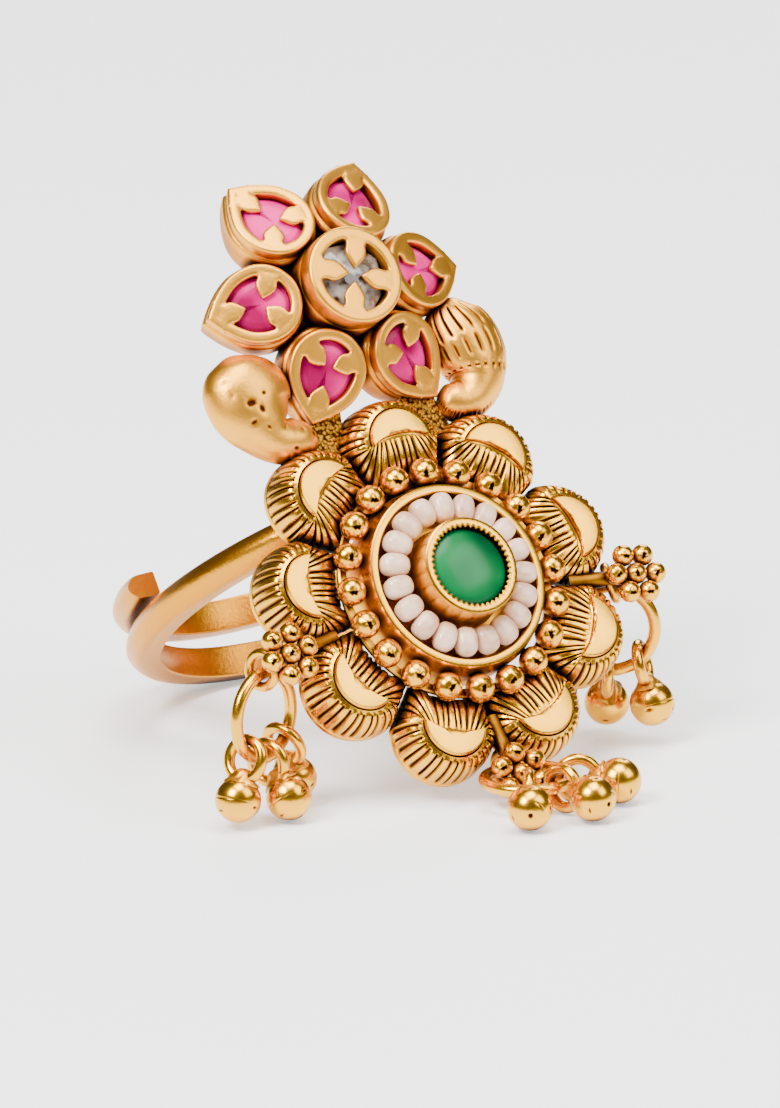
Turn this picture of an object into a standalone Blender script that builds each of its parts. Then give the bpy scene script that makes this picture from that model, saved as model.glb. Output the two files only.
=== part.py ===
"""A finger ring with a round flower head, a gem flower above it and nine hanging drops.

The metalwork is modelled in the head's own frame: X to the right, Y up towards the
gem flower, Z out of the face, and the origin in the middle of the round cup's rim.
All of it is soldered into one body, the setting. The ring is then turned so that it
lies on the floor, on its band and the lower end of the head, and the loose drops are
hung from it or laid on the floor around it.
"""

import math

import bmesh
import bpy
from mathutils import Matrix, Vector

# Round head: the cup that holds the pearls, and the collet in its middle
CUP_RADIUS = 0.0050
CUP_FLARE = 0.0002
CUP_RIM = 0.0005
CUP_DEPTH = 0.0026
CUP_FLOOR = 0.0008
COLLET_RADIUS = 0.0026
COLLET_WALL = 0.0004
COLLET_HEIGHT = 0.0016
ROUND_SIDES = 28

# Balls round the cup, and the rail under them that the petals are soldered to
BALL_COUNT = 20
BALL_RADIUS = 0.00078
BALL_WALL_BITE = 0.00006
BALL_RING_RADIUS = CUP_RADIUS + CUP_FLARE + BALL_RADIUS - BALL_WALL_BITE
BALL_DROP = 0.00073
BALL_START = math.radians(84.2)
RAIL_INSET = 0.00012
RAIL_WIDTH = 0.00072
RAIL_INNER = BALL_RING_RADIUS - RAIL_INSET
RAIL_OUTER = RAIL_INNER + RAIL_WIDTH
BALL_RAIL_BITE = 0.00026
RAIL_DROP = BALL_DROP + BALL_RADIUS - BALL_RAIL_BITE
RAIL_HEIGHT = 0.0009

# Fluted petals with a flat polished crescent on top
PETAL_COUNT = 9
PETAL_START = math.radians(90)
PETAL_RAIL_GAP = 0.00038
PETAL_HOLLOW = RAIL_OUTER + PETAL_RAIL_GAP
PETAL_INNER_REACH = 0.0007
PETAL_CENTRE = PETAL_HOLLOW + PETAL_INNER_REACH
PETAL_REACH = 0.00285
PETAL_FOOT_SPREAD = 0.0008
PETAL_SPACING = 0.00016
PETAL_TOP_DROP = 0.00078
PETAL_DEPTH_OUT = 0.0022
PETAL_DEPTH_IN = 0.0014
PETAL_RIM = 0.0003
CRESCENT_RADIUS = 0.0019
CRESCENT_SAG = 0.0004
CRESCENT_BEVEL = 0.00012
FLUTES = 10
FLUTE_DEPTH = 0.0002

# Rosettes of seven balls between the petals, each on a stem with an eye at its back
ROSETTE_ANGLES = (math.radians(-10), math.radians(-90), math.radians(-170))
ROSETTE_STAND = 0.00032
ROSETTE_RING_RADIUS = PETAL_CENTRE + PETAL_REACH + ROSETTE_STAND
ROSETTE_DROP = 0.00069
ROSETTE_BALL_RADIUS = 0.00060
ROSETTE_BITE = 0.00006
ROSETTE_PITCH = 2 * ROSETTE_BALL_RADIUS - ROSETTE_BITE
STEM_RADIUS = 0.00040
STEM_TUCK = 0.0002
STEM_FOOT_RADIUS = PETAL_CENTRE - STEM_TUCK
STEM_FOOT_DROP = 0.0020
EYE_RADIUS = 0.00088
EYE_WIRE_RADIUS = 0.00028
EYE_REACHES = (-0.00077, -0.00077, 0.00113)
EYE_DEPTHS = (0.00146, 0.00146, 0.00126)

# Gem flower: a round collet and six pointed ones, each open on top under leaf claws
FLOWER_STAND = 0.00621
FLOWER_HEIGHT = PETAL_CENTRE + PETAL_REACH + FLOWER_STAND
FLOWER_LIFT = 0.00054
BUD_RADIUS = 0.00265
BUD_WALL = 0.00055
BUD_DEPTH = 0.0036
BUD_SIDES = 20
LEAF_COUNT = 4
LEAF_START = math.radians(68)
POINTED_COUNT = 6
POINTED_RADIUS = 0.0021
POINTED_TIP = 0.0030
POINTED_WALL = 0.00045
POINTED_DEPTH = 0.0024
POINTED_STEP = 0.00018
POINTED_ROOM = 0.0001
POINTED_PLACE = BUD_RADIUS + POINTED_RADIUS + POINTED_ROOM
POINTED_DROP = 0.00176
POINTED_TILT = math.radians(20)
POINTED_SIDES = 16
HUB_STEP = 0.00045
HUB_RADIUS = BUD_RADIUS + HUB_STEP
HUB_THICKNESS = 0.0010
CLAW_THICKNESS = 0.00025
CLAW_LENGTH = 0.00115
CLAW_WIDTH = 0.00105
CLAW_TUCK = 0.0003
BUD_CLAW_LENGTH = 0.00150
BUD_CLAW_WIDTH = 0.00115
SEAT_DEPTH = 0.00115

# Curled lobes between the petals and the gem flower. One row for each section of the
# right one, from its top: across, up, half width and half thickness. Up is a share of
# the lobe's length, and the others are shares of its width.
LOBE_DROP = 0.00254
LOBE_WIDTH = 0.0040
LOBE_FOOT_BITE = 0.00115
LOBE_FOOT = PETAL_CENTRE + PETAL_REACH - LOBE_FOOT_BITE
LOBE_TOP_DROP = 0.00236
LOBE_LENGTH = FLOWER_HEIGHT - LOBE_TOP_DROP - LOBE_FOOT
LOBE_INNER = 0.0042
LOBE_SECTIONS = (
    (0.55, 1.08, 0.225, 0.175),
    (0.65, 0.90, 0.425, 0.350),
    (0.725, 0.68, 0.5125, 0.4125),
    (0.75, 0.44, 0.4875, 0.400),
    (0.675, 0.20, 0.4125, 0.350),
    (0.50, 0.04, 0.325, 0.300),
    (0.275, 0.00, 0.2625, 0.250),
    (0.10, 0.06, 0.200, 0.200),
    (0.00, 0.12, 0.100, 0.100),
)
LOBE_SIDES = 10
BAR_WIDTH = 0.0017
BAR_THICKNESS = 0.0010
BAR_SPREAD_LOW = 0.0036
BAR_SPREAD_HIGH = 0.0018
BAR_LOW_TUCK = 0.0010
BAR_LOW = PETAL_CENTRE - BAR_LOW_TUCK
BAR_HIGH_TUCK = 0.00166
BAR_HIGH = FLOWER_HEIGHT - BAR_HIGH_TUCK
BAR_DROP = 0.0029

# Band: one strip of D section that passes behind the head and overlaps at its ends
BAND_HALF_WIDTH = 0.00875
BAND_HALF_HEIGHT = 0.01035
BAND_FACE_DROP = 0.00295
BAND_CENTRE_DROP = BAND_HALF_HEIGHT + BAND_FACE_DROP
BAND_OFFSET = 0.0056
BAND_STRIP = 0.0017
BAND_EDGE = 0.0012
BAND_CROWN = 0.0005
BAND_LEFT_END = math.radians(338)
BAND_RIGHT_END = math.radians(-174)
BAND_LEFT_SHIFT = -0.0027
BAND_RIGHT_SHIFT = 0.0010
BAND_TAPER = math.radians(26)
BAND_END_SHARE = 0.35
BAND_STEP = math.radians(12)

# Stones and pearls, with the room left round them
STONE_ROOM = 0.0001
PEARL_COUNT = 19
PEARL_ROOM = 0.00008
PEARL_COLLET_ROOM = 0.00042
PEARL_LENGTH = CUP_RADIUS - CUP_RIM - PEARL_ROOM - COLLET_RADIUS - PEARL_COLLET_ROOM
PEARL_RING_RADIUS = CUP_RADIUS - CUP_RIM - PEARL_ROOM - PEARL_LENGTH / 2
PEARL_SPACING = 0.000085
PEARL_WIDTH = 2 * PEARL_RING_RADIUS * math.sin(math.pi / PEARL_COUNT) - PEARL_SPACING
PEARL_LIFT = 0.0001
PEARL_HEIGHT = 0.0012
GREEN_DOME = 0.0003
GREEN_ROWS = 3
GREEN_SIDES = 24
CLEAR_SIDES = 16
STONE_THICKNESS = 0.0006
TABLE_SHARE = 0.72

# Drops: a ball with a loop, three on each jump ring
DROP_BALL_RADIUS = 0.00122
LOOP_RADIUS = 0.00103
LOOP_WIRE_RADIUS = 0.00030
LOOP_REACH = 0.0021
JUMP_RADIUS = 0.00225
JUMP_WIRE_RADIUS = 0.00033
CLEARANCE = 0.0001
JUMP_YAWS = (math.radians(-35), 0.0, math.radians(20))

# Hanging drops: the angle round the ring from its lowest point, the lean along the
# ring and the lean out of it
RIGHT_DROPS = (
    (math.radians(-55), math.radians(25), 0.0),
    (math.radians(-5), 0.0, math.radians(-28)),
    (math.radians(42), math.radians(-29), math.radians(12)),
)
LEFT_DROPS = (
    (math.radians(-42), math.radians(22), 0.0),
    (0.0, 0.0, math.radians(38)),
    (math.radians(42), math.radians(-22), 0.0),
)
LYING_PLACES = (math.radians(-32), math.radians(12), math.radians(54))

# The way up, in the head's frame, from which the resting face is looked for
NEARLY_UP = Vector((0.02, 0.84, 0.54))


def clear_scene():
    for existing in list(bpy.data.objects):
        bpy.data.objects.remove(existing, do_unlink=True)


def new_collection(name):
    collection = bpy.data.collections.new(name)
    bpy.context.scene.collection.children.link(collection)
    return collection


def principled(name, colour, roughness, metallic):
    """A plain Principled material."""
    material = bpy.data.materials.new(name)
    material.use_nodes = True
    shader = material.node_tree.nodes["Principled BSDF"]
    shader.inputs["Base Color"].default_value = (*colour, 1.0)
    shader.inputs["Roughness"].default_value = roughness
    shader.inputs["Metallic"].default_value = metallic
    material.diffuse_color = (*colour, 1.0)
    return material


def add_object(name, mesh, collection, material, place=None):
    """Put a mesh in the scene as an object of its own."""
    piece = bpy.data.objects.new(name, mesh)
    if place is not None:
        piece.matrix_world = place
    piece.data.materials.clear()
    piece.data.materials.append(material)
    collection.objects.link(piece)
    return piece


def finish_mesh(shape, name, smooth_angle=math.radians(40)):
    """Turn a bmesh into a mesh with its faces pointing out."""
    bmesh.ops.recalc_face_normals(shape, faces=shape.faces)
    mesh = bpy.data.meshes.new(name)
    shape.to_mesh(mesh)
    shape.free()
    mesh.shade_smooth()
    mesh.set_sharp_from_angle(angle=smooth_angle)
    return mesh


def turn_z(angle):
    return Matrix.Rotation(angle, 4, "Z")


def polar(radius, angle, height=0.0):
    return Vector((radius * math.cos(angle), radius * math.sin(angle), height))


def turned_mesh(name, profile, sides):
    """A turned piece, from a profile that runs down its outer side."""
    outline = bpy.data.meshes.new(name)
    vertices = [(radius, 0.0, height) for radius, height in profile]
    edges = [(index, index + 1) for index in range(len(profile) - 1)]
    outline.from_pydata(vertices, edges, [])
    blank = bpy.data.objects.new(name, outline)
    bpy.context.scene.collection.objects.link(blank)
    screw = blank.modifiers.new("turn", "SCREW")
    screw.steps = sides
    screw.render_steps = sides
    screw.use_merge_vertices = True
    screw.merge_threshold = 0.000001
    bpy.context.view_layer.update()
    evaluated = blank.evaluated_get(bpy.context.evaluated_depsgraph_get())
    mesh = bpy.data.meshes.new_from_object(evaluated)
    bpy.data.objects.remove(blank, do_unlink=True)
    shape = bmesh.new()
    shape.from_mesh(mesh)
    bmesh.ops.remove_doubles(shape, verts=shape.verts, dist=0.000001)
    bpy.data.meshes.remove(mesh)
    return finish_mesh(shape, name)


def ball_mesh(name, size, sides=10, rings=4):
    """A ball or button with its own size along X, Y and Z."""
    shape = bmesh.new()
    bmesh.ops.create_uvsphere(shape, u_segments=sides, v_segments=rings, radius=1.0)
    bmesh.ops.scale(shape, vec=size, verts=shape.verts)
    return finish_mesh(shape, name, math.radians(80))


def wire_ring_mesh(name, radius, wire_radius, sides, wire_sides=5):
    """A closed ring of round wire round the Z axis."""
    bpy.ops.mesh.primitive_torus_add(
        major_segments=sides,
        minor_segments=wire_sides,
        major_radius=radius,
        minor_radius=wire_radius,
    )
    blank = bpy.context.object
    mesh = blank.data.copy()
    mesh.name = name
    bpy.data.objects.remove(blank, do_unlink=True)
    mesh.shade_smooth()
    return mesh


def loft_mesh(name, rings, smooth_angle=math.radians(40)):
    """A closed body through rings of the same number of points, capped at both ends."""
    shape = bmesh.new()
    loops = [[shape.verts.new(point) for point in ring] for ring in rings]
    count = len(loops[0])
    for lower, upper in zip(loops, loops[1:]):
        for index in range(count):
            following = (index + 1) % count
            shape.faces.new((lower[index], lower[following], upper[following], upper[index]))
    for loop in (loops[0], loops[-1]):
        shape.faces.new(loop)
    return finish_mesh(shape, name, smooth_angle)


def prism_mesh(name, outline, top, bottom):
    """A flat plate with the given outline between two heights."""
    rings = [[(x, y, height) for x, y in outline] for height in (bottom, top)]
    return loft_mesh(name, rings)


def cup_mesh():
    wall = CUP_RADIUS + CUP_FLARE
    profile = (
        (0.0, -CUP_FLOOR),
        (CUP_RADIUS - CUP_RIM, -CUP_FLOOR),
        (CUP_RADIUS - CUP_RIM, 0.0),
        (CUP_RADIUS, 0.0),
        (wall, -BALL_DROP),
        (wall, -CUP_DEPTH),
        (0.0, -CUP_DEPTH),
    )
    return turned_mesh("cup", profile, ROUND_SIDES)


def collet_mesh():
    """The tube that holds the green stone, standing on the cup's floor."""
    inner = COLLET_RADIUS - COLLET_WALL
    seat = COLLET_HEIGHT - SEAT_DEPTH
    profile = (
        (0.0, seat),
        (inner, seat),
        (inner, COLLET_HEIGHT),
        (COLLET_RADIUS, COLLET_HEIGHT),
        (COLLET_RADIUS, -(CUP_FLOOR + CUP_DEPTH) / 2),
        (0.0, -(CUP_FLOOR + CUP_DEPTH) / 2),
    )
    return turned_mesh("collet", profile, ROUND_SIDES)


def rail_mesh():
    """The flat ring under the balls, open inside it and between the petals' feet."""
    foot = -RAIL_DROP - RAIL_HEIGHT
    profile = (
        (RAIL_INNER, foot),
        (RAIL_INNER, -RAIL_DROP),
        (RAIL_OUTER, -RAIL_DROP),
        (RAIL_OUTER, foot),
        (RAIL_INNER, foot),
    )
    return turned_mesh("rail", profile, ROUND_SIDES)


def petal_boundary(angle):
    """How far a petal's foot reaches from its own centre in one direction."""
    half_pitch = math.pi / PETAL_COUNT

    def inside(distance):
        x = PETAL_CENTRE + distance * math.cos(angle)
        y = distance * math.sin(angle)
        turn = abs(math.atan2(y, x))
        radius = math.hypot(x, y)
        inner = PETAL_HOLLOW - PETAL_FOOT_SPREAD * (turn / half_pitch) ** 2
        in_wedge = radius * math.sin(turn - half_pitch) < -PETAL_SPACING / 2
        return radius > inner and in_wedge

    near = 0.0
    far = PETAL_REACH
    if inside(far):
        return far
    for _ in range(30):
        middle = (near + far) / 2
        if inside(middle):
            near = middle
        else:
            far = middle
    return near


def petal_mesh():
    """One fluted petal round its own centre on the X axis."""
    columns = 2 * FLUTES
    half = columns // 2
    top_ring = []
    foot_ring = []
    foot_heights = []
    for index in range(columns):
        angle = math.pi * (index / half) - math.pi / 2
        if index <= half:
            top = Vector((math.cos(angle), math.sin(angle))) * CRESCENT_RADIUS
        else:
            share = 1 - 2 * (index - half) / half
            top = Vector((CRESCENT_SAG * (1 - share * share), CRESCENT_RADIUS * share))
        top_ring.append(top)
        reach = petal_boundary(angle)
        foot_ring.append(Vector((math.cos(angle), math.sin(angle))) * reach)
        middle_depth = (PETAL_DEPTH_OUT + PETAL_DEPTH_IN) / 2
        half_range = (PETAL_DEPTH_OUT - PETAL_DEPTH_IN) / 2
        foot_heights.append(-PETAL_TOP_DROP - middle_depth - half_range * math.cos(angle))

    def row(share, fluted):
        """A ring part of the way down the rounded wall."""
        sweep = share * math.pi / 2
        points = []
        for index in range(columns):
            top = top_ring[index]
            foot = foot_ring[index]
            spot = top.lerp(foot, math.sin(sweep))
            height = -PETAL_TOP_DROP
            height += (foot_heights[index] + PETAL_TOP_DROP) * (1 - math.cos(sweep))
            if fluted and index % 2:
                inward = (top - foot).normalized() * FLUTE_DEPTH
                spot = spot + inward
                height -= FLUTE_DEPTH / 2
            points.append((PETAL_CENTRE + spot.x, spot.y, height))
        return points

    facet = [(PETAL_CENTRE + p.x, p.y, -PETAL_TOP_DROP + CRESCENT_BEVEL) for p in top_ring]
    rim_top = [(x, y, z) for x, y, z in row(1.0, False)]
    rim_foot = [(x, y, z - PETAL_RIM) for x, y, z in rim_top]
    rings = [facet, row(0.12, False), row(0.9, True), rim_top, rim_foot]
    return loft_mesh("petal", rings)


def pointed_outline(grow=0.0):
    """The teardrop outline of a pointed collet, its tip on +X."""
    blend = math.radians(80)
    points = []
    for index in range(POINTED_SIDES):
        angle = 2 * math.pi * index / POINTED_SIDES
        aside = min(angle, 2 * math.pi - angle)
        tip = max(0.0, 1 - aside / blend) ** 1.35
        reach = POINTED_RADIUS + (POINTED_TIP - POINTED_RADIUS) * tip
        scale = (reach + grow) / reach
        if aside == 0.0:
            scale = (reach + 1.3 * grow) / reach
        points.append((reach * scale * math.cos(angle), reach * scale * math.sin(angle)))
    return points


def at_height(outline, height):
    return [(x, y, height) for x, y in outline]


def pointed_mesh():
    """A pointed collet: a deep wall, wider at its base, and a seat for its stone."""
    rim = pointed_outline()
    inner = pointed_outline(-POINTED_WALL)
    base = pointed_outline(POINTED_STEP)
    rings = [
        at_height(inner, -SEAT_DEPTH),
        at_height(inner, 0.0),
        at_height(rim, 0.0),
        at_height(base, -POINTED_DEPTH * 0.5),
        at_height(base, -POINTED_DEPTH),
    ]
    return loft_mesh("pointed", rings)


def bud_mesh():
    """The round collet in the middle of the gem flower, with the hub below it."""
    inner = BUD_RADIUS - BUD_WALL
    profile = (
        (0.0, -SEAT_DEPTH),
        (inner, -SEAT_DEPTH),
        (inner, 0.0),
        (BUD_RADIUS, 0.0),
        (BUD_RADIUS, HUB_THICKNESS - BUD_DEPTH),
        (HUB_RADIUS, HUB_THICKNESS - BUD_DEPTH),
        (HUB_RADIUS, -BUD_DEPTH),
        (0.0, -BUD_DEPTH),
    )
    return turned_mesh("bud", profile, BUD_SIDES)


def claw_outline(length, width, root):
    """A leaf that grows inward, along -X, from the rim at X = 0."""
    half = width / 2
    return [
        (root, -half * 0.7),
        (root, half * 0.7),
        (-length * 0.35, half),
        (-length * 0.75, half * 0.6),
        (-length, 0.0),
        (-length * 0.75, -half * 0.6),
        (-length * 0.35, -half),
    ]


def claw_mesh(name, length, width, root):
    return prism_mesh(name, claw_outline(length, width, root), 0.0, -CLAW_THICKNESS)


def lobe_mesh(side):
    """A fat curled lobe, lofted through oval sections along its bent spine."""
    centres = []
    for across_share, up_share, _, _ in LOBE_SECTIONS:
        across = LOBE_INNER + across_share * LOBE_WIDTH
        up = LOBE_FOOT + up_share * LOBE_LENGTH
        centres.append(Vector((side * across, up, -LOBE_DROP)))
    rings = []
    for index, (_, _, width_share, thick_share) in enumerate(LOBE_SECTIONS):
        half_width = width_share * LOBE_WIDTH
        half_thick = thick_share * LOBE_WIDTH
        before = centres[max(index - 1, 0)]
        after = centres[min(index + 1, len(centres) - 1)]
        along = (after - before).normalized()
        across = along.cross(Vector((0.0, 0.0, 1.0))).normalized()
        ring = []
        for step in range(LOBE_SIDES):
            angle = 2 * math.pi * step / LOBE_SIDES
            spot = centres[index] + across * half_width * math.cos(angle)
            spot.z += half_thick * math.sin(angle)
            ring.append(spot)
        rings.append(ring)
    return loft_mesh("lobe", rings, math.radians(70))


def bar_mesh(side):
    """A flat bar behind the head, from the round flower to the gem flower's hub."""
    low = Vector((side * BAR_SPREAD_LOW, BAR_LOW, 0.0))
    high = Vector((side * BAR_SPREAD_HIGH, BAR_HIGH, 0.0))
    across = (high - low).normalized().cross(Vector((0.0, 0.0, 1.0))) * BAR_WIDTH / 2
    corners = [low - across, low + across, high + across, high - across]
    outline = [(corner.x, corner.y) for corner in corners]
    return prism_mesh("bar", outline, -BAR_DROP, -BAR_DROP - BAR_THICKNESS)


def band_shift(angle):
    """How far the strip has moved along the finger at one angle of the hoop."""
    behind_head = math.radians(90)
    if angle >= behind_head:
        return BAND_LEFT_SHIFT * (angle - behind_head) / (BAND_LEFT_END - behind_head)
    return BAND_RIGHT_SHIFT * (behind_head - angle) / (behind_head - BAND_RIGHT_END)


def band_point(angle, out, aside):
    """A point of the strip, out from its inner face and aside along the finger."""
    x = (BAND_HALF_WIDTH + out) * math.cos(angle)
    z = (BAND_HALF_HEIGHT + out) * math.sin(angle) - BAND_CENTRE_DROP
    return Vector((x, BAND_OFFSET + band_shift(angle) + aside, z))


def band_mesh():
    """The open hoop as one strip, narrowed at both ends."""
    steps = round((BAND_LEFT_END - BAND_RIGHT_END) / BAND_STEP)
    rings = []
    for index in range(steps + 1):
        angle = BAND_RIGHT_END + (BAND_LEFT_END - BAND_RIGHT_END) * index / steps
        to_end = max(0.0, min(angle - BAND_RIGHT_END, BAND_LEFT_END - angle))
        grown = BAND_END_SHARE + (1 - BAND_END_SHARE) * math.sqrt(to_end / BAND_TAPER)
        width = BAND_STRIP / 2 * min(1.0, grown)
        crown = BAND_EDGE + BAND_CROWN
        section = (
            (0.0, -width),
            (0.0, width),
            (BAND_EDGE, width),
            (BAND_EDGE + 0.7 * BAND_CROWN, width * 0.55),
            (crown, 0.0),
            (BAND_EDGE + 0.7 * BAND_CROWN, -width * 0.55),
            (BAND_EDGE, -width),
        )
        rings.append([band_point(angle, out, aside) for out, aside in section])
    return loft_mesh("band", rings)


def stem_mesh():
    """The stem of a rosette on the X axis, from between the petals to its middle ball."""
    foot = Vector((STEM_FOOT_RADIUS, 0.0, -STEM_FOOT_DROP))
    end = Vector((ROSETTE_RING_RADIUS, 0.0, -ROSETTE_DROP - ROSETTE_BALL_RADIUS / 2))
    along = (end - foot).normalized()
    shape = bmesh.new()
    bmesh.ops.create_cone(
        shape,
        cap_ends=True,
        segments=8,
        radius1=STEM_RADIUS * 1.5,
        radius2=STEM_RADIUS,
        depth=(end - foot).length,
    )
    turn = Vector((0.0, 0.0, 1.0)).rotation_difference(along).to_matrix().to_4x4()
    bmesh.ops.transform(shape, matrix=Matrix.Translation((foot + end) / 2) @ turn, verts=shape.verts)
    return finish_mesh(shape, "stem")


def fuse_metalwork(fused, metal):
    """Make every soldered piece and return them in the order that they are made."""
    pieces = []

    def add(name, mesh, place=None):
        pieces.append(add_object(name, mesh, fused, metal, place))

    add("collet", collet_mesh())
    ball = ball_mesh("ball", (BALL_RADIUS,) * 3)
    for index in range(BALL_COUNT):
        angle = BALL_START - 2 * math.pi * index / BALL_COUNT
        place = turn_z(angle) @ Matrix.Translation((BALL_RING_RADIUS, 0.0, -BALL_DROP))
        add(f"ball_{index}", ball, place)
    add("rail", rail_mesh())
    petal = petal_mesh()
    for index in range(PETAL_COUNT):
        add(f"petal_{index}", petal, turn_z(PETAL_START - 2 * math.pi * index / PETAL_COUNT))

    small_ball = ball_mesh("rosette_ball", (ROSETTE_BALL_RADIUS,) * 3)
    stem = stem_mesh()
    eye = wire_ring_mesh("eye", EYE_RADIUS, EYE_WIRE_RADIUS, 10)
    for number, angle in enumerate(ROSETTE_ANGLES):
        centre = turn_z(angle) @ Matrix.Translation((ROSETTE_RING_RADIUS, 0.0, -ROSETTE_DROP))
        add(f"rosette_{number}_ball", small_ball, centre)
        for index in range(6):
            around = turn_z(math.pi * index / 3) @ Matrix.Translation((ROSETTE_PITCH, 0.0, 0.0))
            add(f"rosette_{number}_ball_{index}", small_ball, centre @ around)
        add(f"rosette_{number}_stem", stem, turn_z(angle))
        add(f"rosette_{number}_eye", eye, eye_place(number))

    flower = flower_place()
    add("bud", bud_mesh(), flower)
    bud_claw = claw_mesh("bud_claw", BUD_CLAW_LENGTH, BUD_CLAW_WIDTH, BUD_WALL * 0.6)
    for index in range(LEAF_COUNT):
        place = turn_z(LEAF_START + 2 * math.pi * index / LEAF_COUNT)
        place = place @ Matrix.Translation((BUD_RADIUS - BUD_WALL, 0.0, 0.0))
        add(f"bud_claw_{index}", bud_claw, flower @ place)
    pointed = pointed_mesh()
    claw = claw_mesh("claw", CLAW_LENGTH, CLAW_WIDTH, POINTED_WALL * 0.6)
    for number, place in enumerate(pointed_places()):
        add(f"pointed_{number}", pointed, place)
        for index, spot in enumerate(claw_places()):
            add(f"pointed_{number}_claw_{index}", claw, place @ spot)

    for name, side in (("left", -1), ("right", 1)):
        add(f"lobe_{name}", lobe_mesh(side))
        add(f"bar_{name}", bar_mesh(side))
    add("band", band_mesh())
    return pieces


def eye_place(number):
    """The frame of an eye, its hole along Z, turned to suit the way its ring hangs."""
    reach = ROSETTE_RING_RADIUS + EYE_REACHES[number]
    centre = polar(reach, ROSETTE_ANGLES[number], -ROSETTE_DROP - EYE_DEPTHS[number])
    turn = Matrix.Rotation(math.pi / 2 + JUMP_YAWS[number], 4, "Y")
    return Matrix.Translation(centre) @ turn


def flower_place():
    return Matrix.Translation((0.0, FLOWER_HEIGHT, FLOWER_LIFT))


def pointed_places():
    """The frames of the six pointed collets, tipped outward round the gem flower."""
    places = []
    for index in range(POINTED_COUNT):
        angle = 2 * math.pi * index / POINTED_COUNT
        place = flower_place() @ turn_z(angle)
        place = place @ Matrix.Translation((POINTED_PLACE, 0.0, -POINTED_DROP))
        places.append(place @ Matrix.Rotation(POINTED_TILT, 4, "Y"))
    return places


def claw_places():
    """Where the three claws of a pointed collet grow from its inner edge."""
    inner = POINTED_RADIUS - POINTED_WALL
    tip = POINTED_TIP - 1.3 * POINTED_WALL
    spots = [(0.0, tip - CLAW_TUCK), (math.radians(125), inner), (math.radians(-125), inner)]
    return [turn_z(angle) @ Matrix.Translation((reach, 0.0, 0.0)) for angle, reach in spots]


def stone_mesh(name, outline, thickness):
    """A flat-backed stone with a girdle, sloping facets and a table."""
    table = [(x * TABLE_SHARE, y * TABLE_SHARE) for x, y in outline]
    rings = [
        at_height(table, 0.0),
        at_height(outline, -thickness * 0.4),
        at_height(outline, -thickness),
    ]
    return loft_mesh(name, rings, math.radians(5))


def round_outline(radius, sides):
    return [
        (radius * math.cos(2 * math.pi * i / sides), radius * math.sin(2 * math.pi * i / sides))
        for i in range(sides)
    ]


def add_stones(collection, frame, materials):
    """The green stone, the pearls round it and the gem flower's seven stones."""
    stones = []
    radius = COLLET_RADIUS - COLLET_WALL - STONE_ROOM
    top = COLLET_HEIGHT + GREEN_DOME
    foot = COLLET_HEIGHT - SEAT_DEPTH + STONE_ROOM
    profile = []
    for index in range(GREEN_ROWS + 1):
        sweep = math.pi / 2 * index / GREEN_ROWS
        height = COLLET_HEIGHT - STONE_ROOM + (GREEN_DOME + STONE_ROOM) * math.cos(sweep)
        profile.append((radius * math.sin(sweep), height))
    profile[0] = (0.0, top)
    profile += [(radius, foot), (0.0, foot)]
    green = turned_mesh("green_stone", profile, GREEN_SIDES)
    stones.append(add_object("green_stone", green, collection, materials["green"]))

    pearl = ball_mesh("pearl", (PEARL_LENGTH / 2, PEARL_WIDTH / 2, PEARL_HEIGHT / 2))
    for index in range(PEARL_COUNT):
        angle = BALL_START - 2 * math.pi * index / PEARL_COUNT
        place = turn_z(angle) @ Matrix.Translation((PEARL_RING_RADIUS, 0.0, PEARL_LIFT))
        name = f"pearl_{index + 1:02d}"
        stones.append(add_object(name, pearl, collection, materials["pearl"], place))

    below = Matrix.Translation((0.0, 0.0, -CLAW_THICKNESS - STONE_ROOM))
    clear = stone_mesh(
        "clear_stone",
        round_outline(BUD_RADIUS - BUD_WALL - STONE_ROOM, CLEAR_SIDES),
        STONE_THICKNESS,
    )
    place = flower_place() @ below
    stones.append(add_object("clear_stone", clear, collection, materials["clear"], place))
    outline = pointed_outline(-POINTED_WALL - STONE_ROOM)
    pink = stone_mesh("pink_stone", outline, STONE_THICKNESS)
    for number, spot in enumerate(pointed_places()):
        name = f"pink_stone_{number + 1}"
        stones.append(add_object(name, pink, collection, materials["pink"], spot @ below))
    for stone in stones:
        stone.parent = frame
    return stones


def resting_matrix(pieces):
    """Turn the head's frame so that the ring lies on the face of its hull nearest down."""
    hull = bmesh.new()
    for piece in pieces:
        for vertex in piece.data.vertices:
            hull.verts.new(piece.matrix_world @ vertex.co)
    bmesh.ops.convex_hull(hull, input=hull.verts)
    hull.normal_update()
    down = -NEARLY_UP.normalized()
    face = max(hull.faces, key=lambda candidate: candidate.normal.dot(down))
    up = -face.normal.copy()
    floor = face.verts[0].co.dot(up)
    hull.free()
    across = (Vector((1.0, 0.0, 0.0)) - up * up.x).normalized()
    away = up.cross(across)
    turn = Matrix((across, away, up)).to_4x4()
    return Matrix.Translation((0.0, 0.0, -floor)) @ turn


def basis(origin, x_axis, z_hint):
    """A frame with X along one direction and Z as near as can be to another."""
    x = x_axis.normalized()
    z = (z_hint - x * z_hint.dot(x)).normalized()
    turn = Matrix((x, z.cross(x), z)).transposed().to_4x4()
    return Matrix.Translation(origin) @ turn


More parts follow.
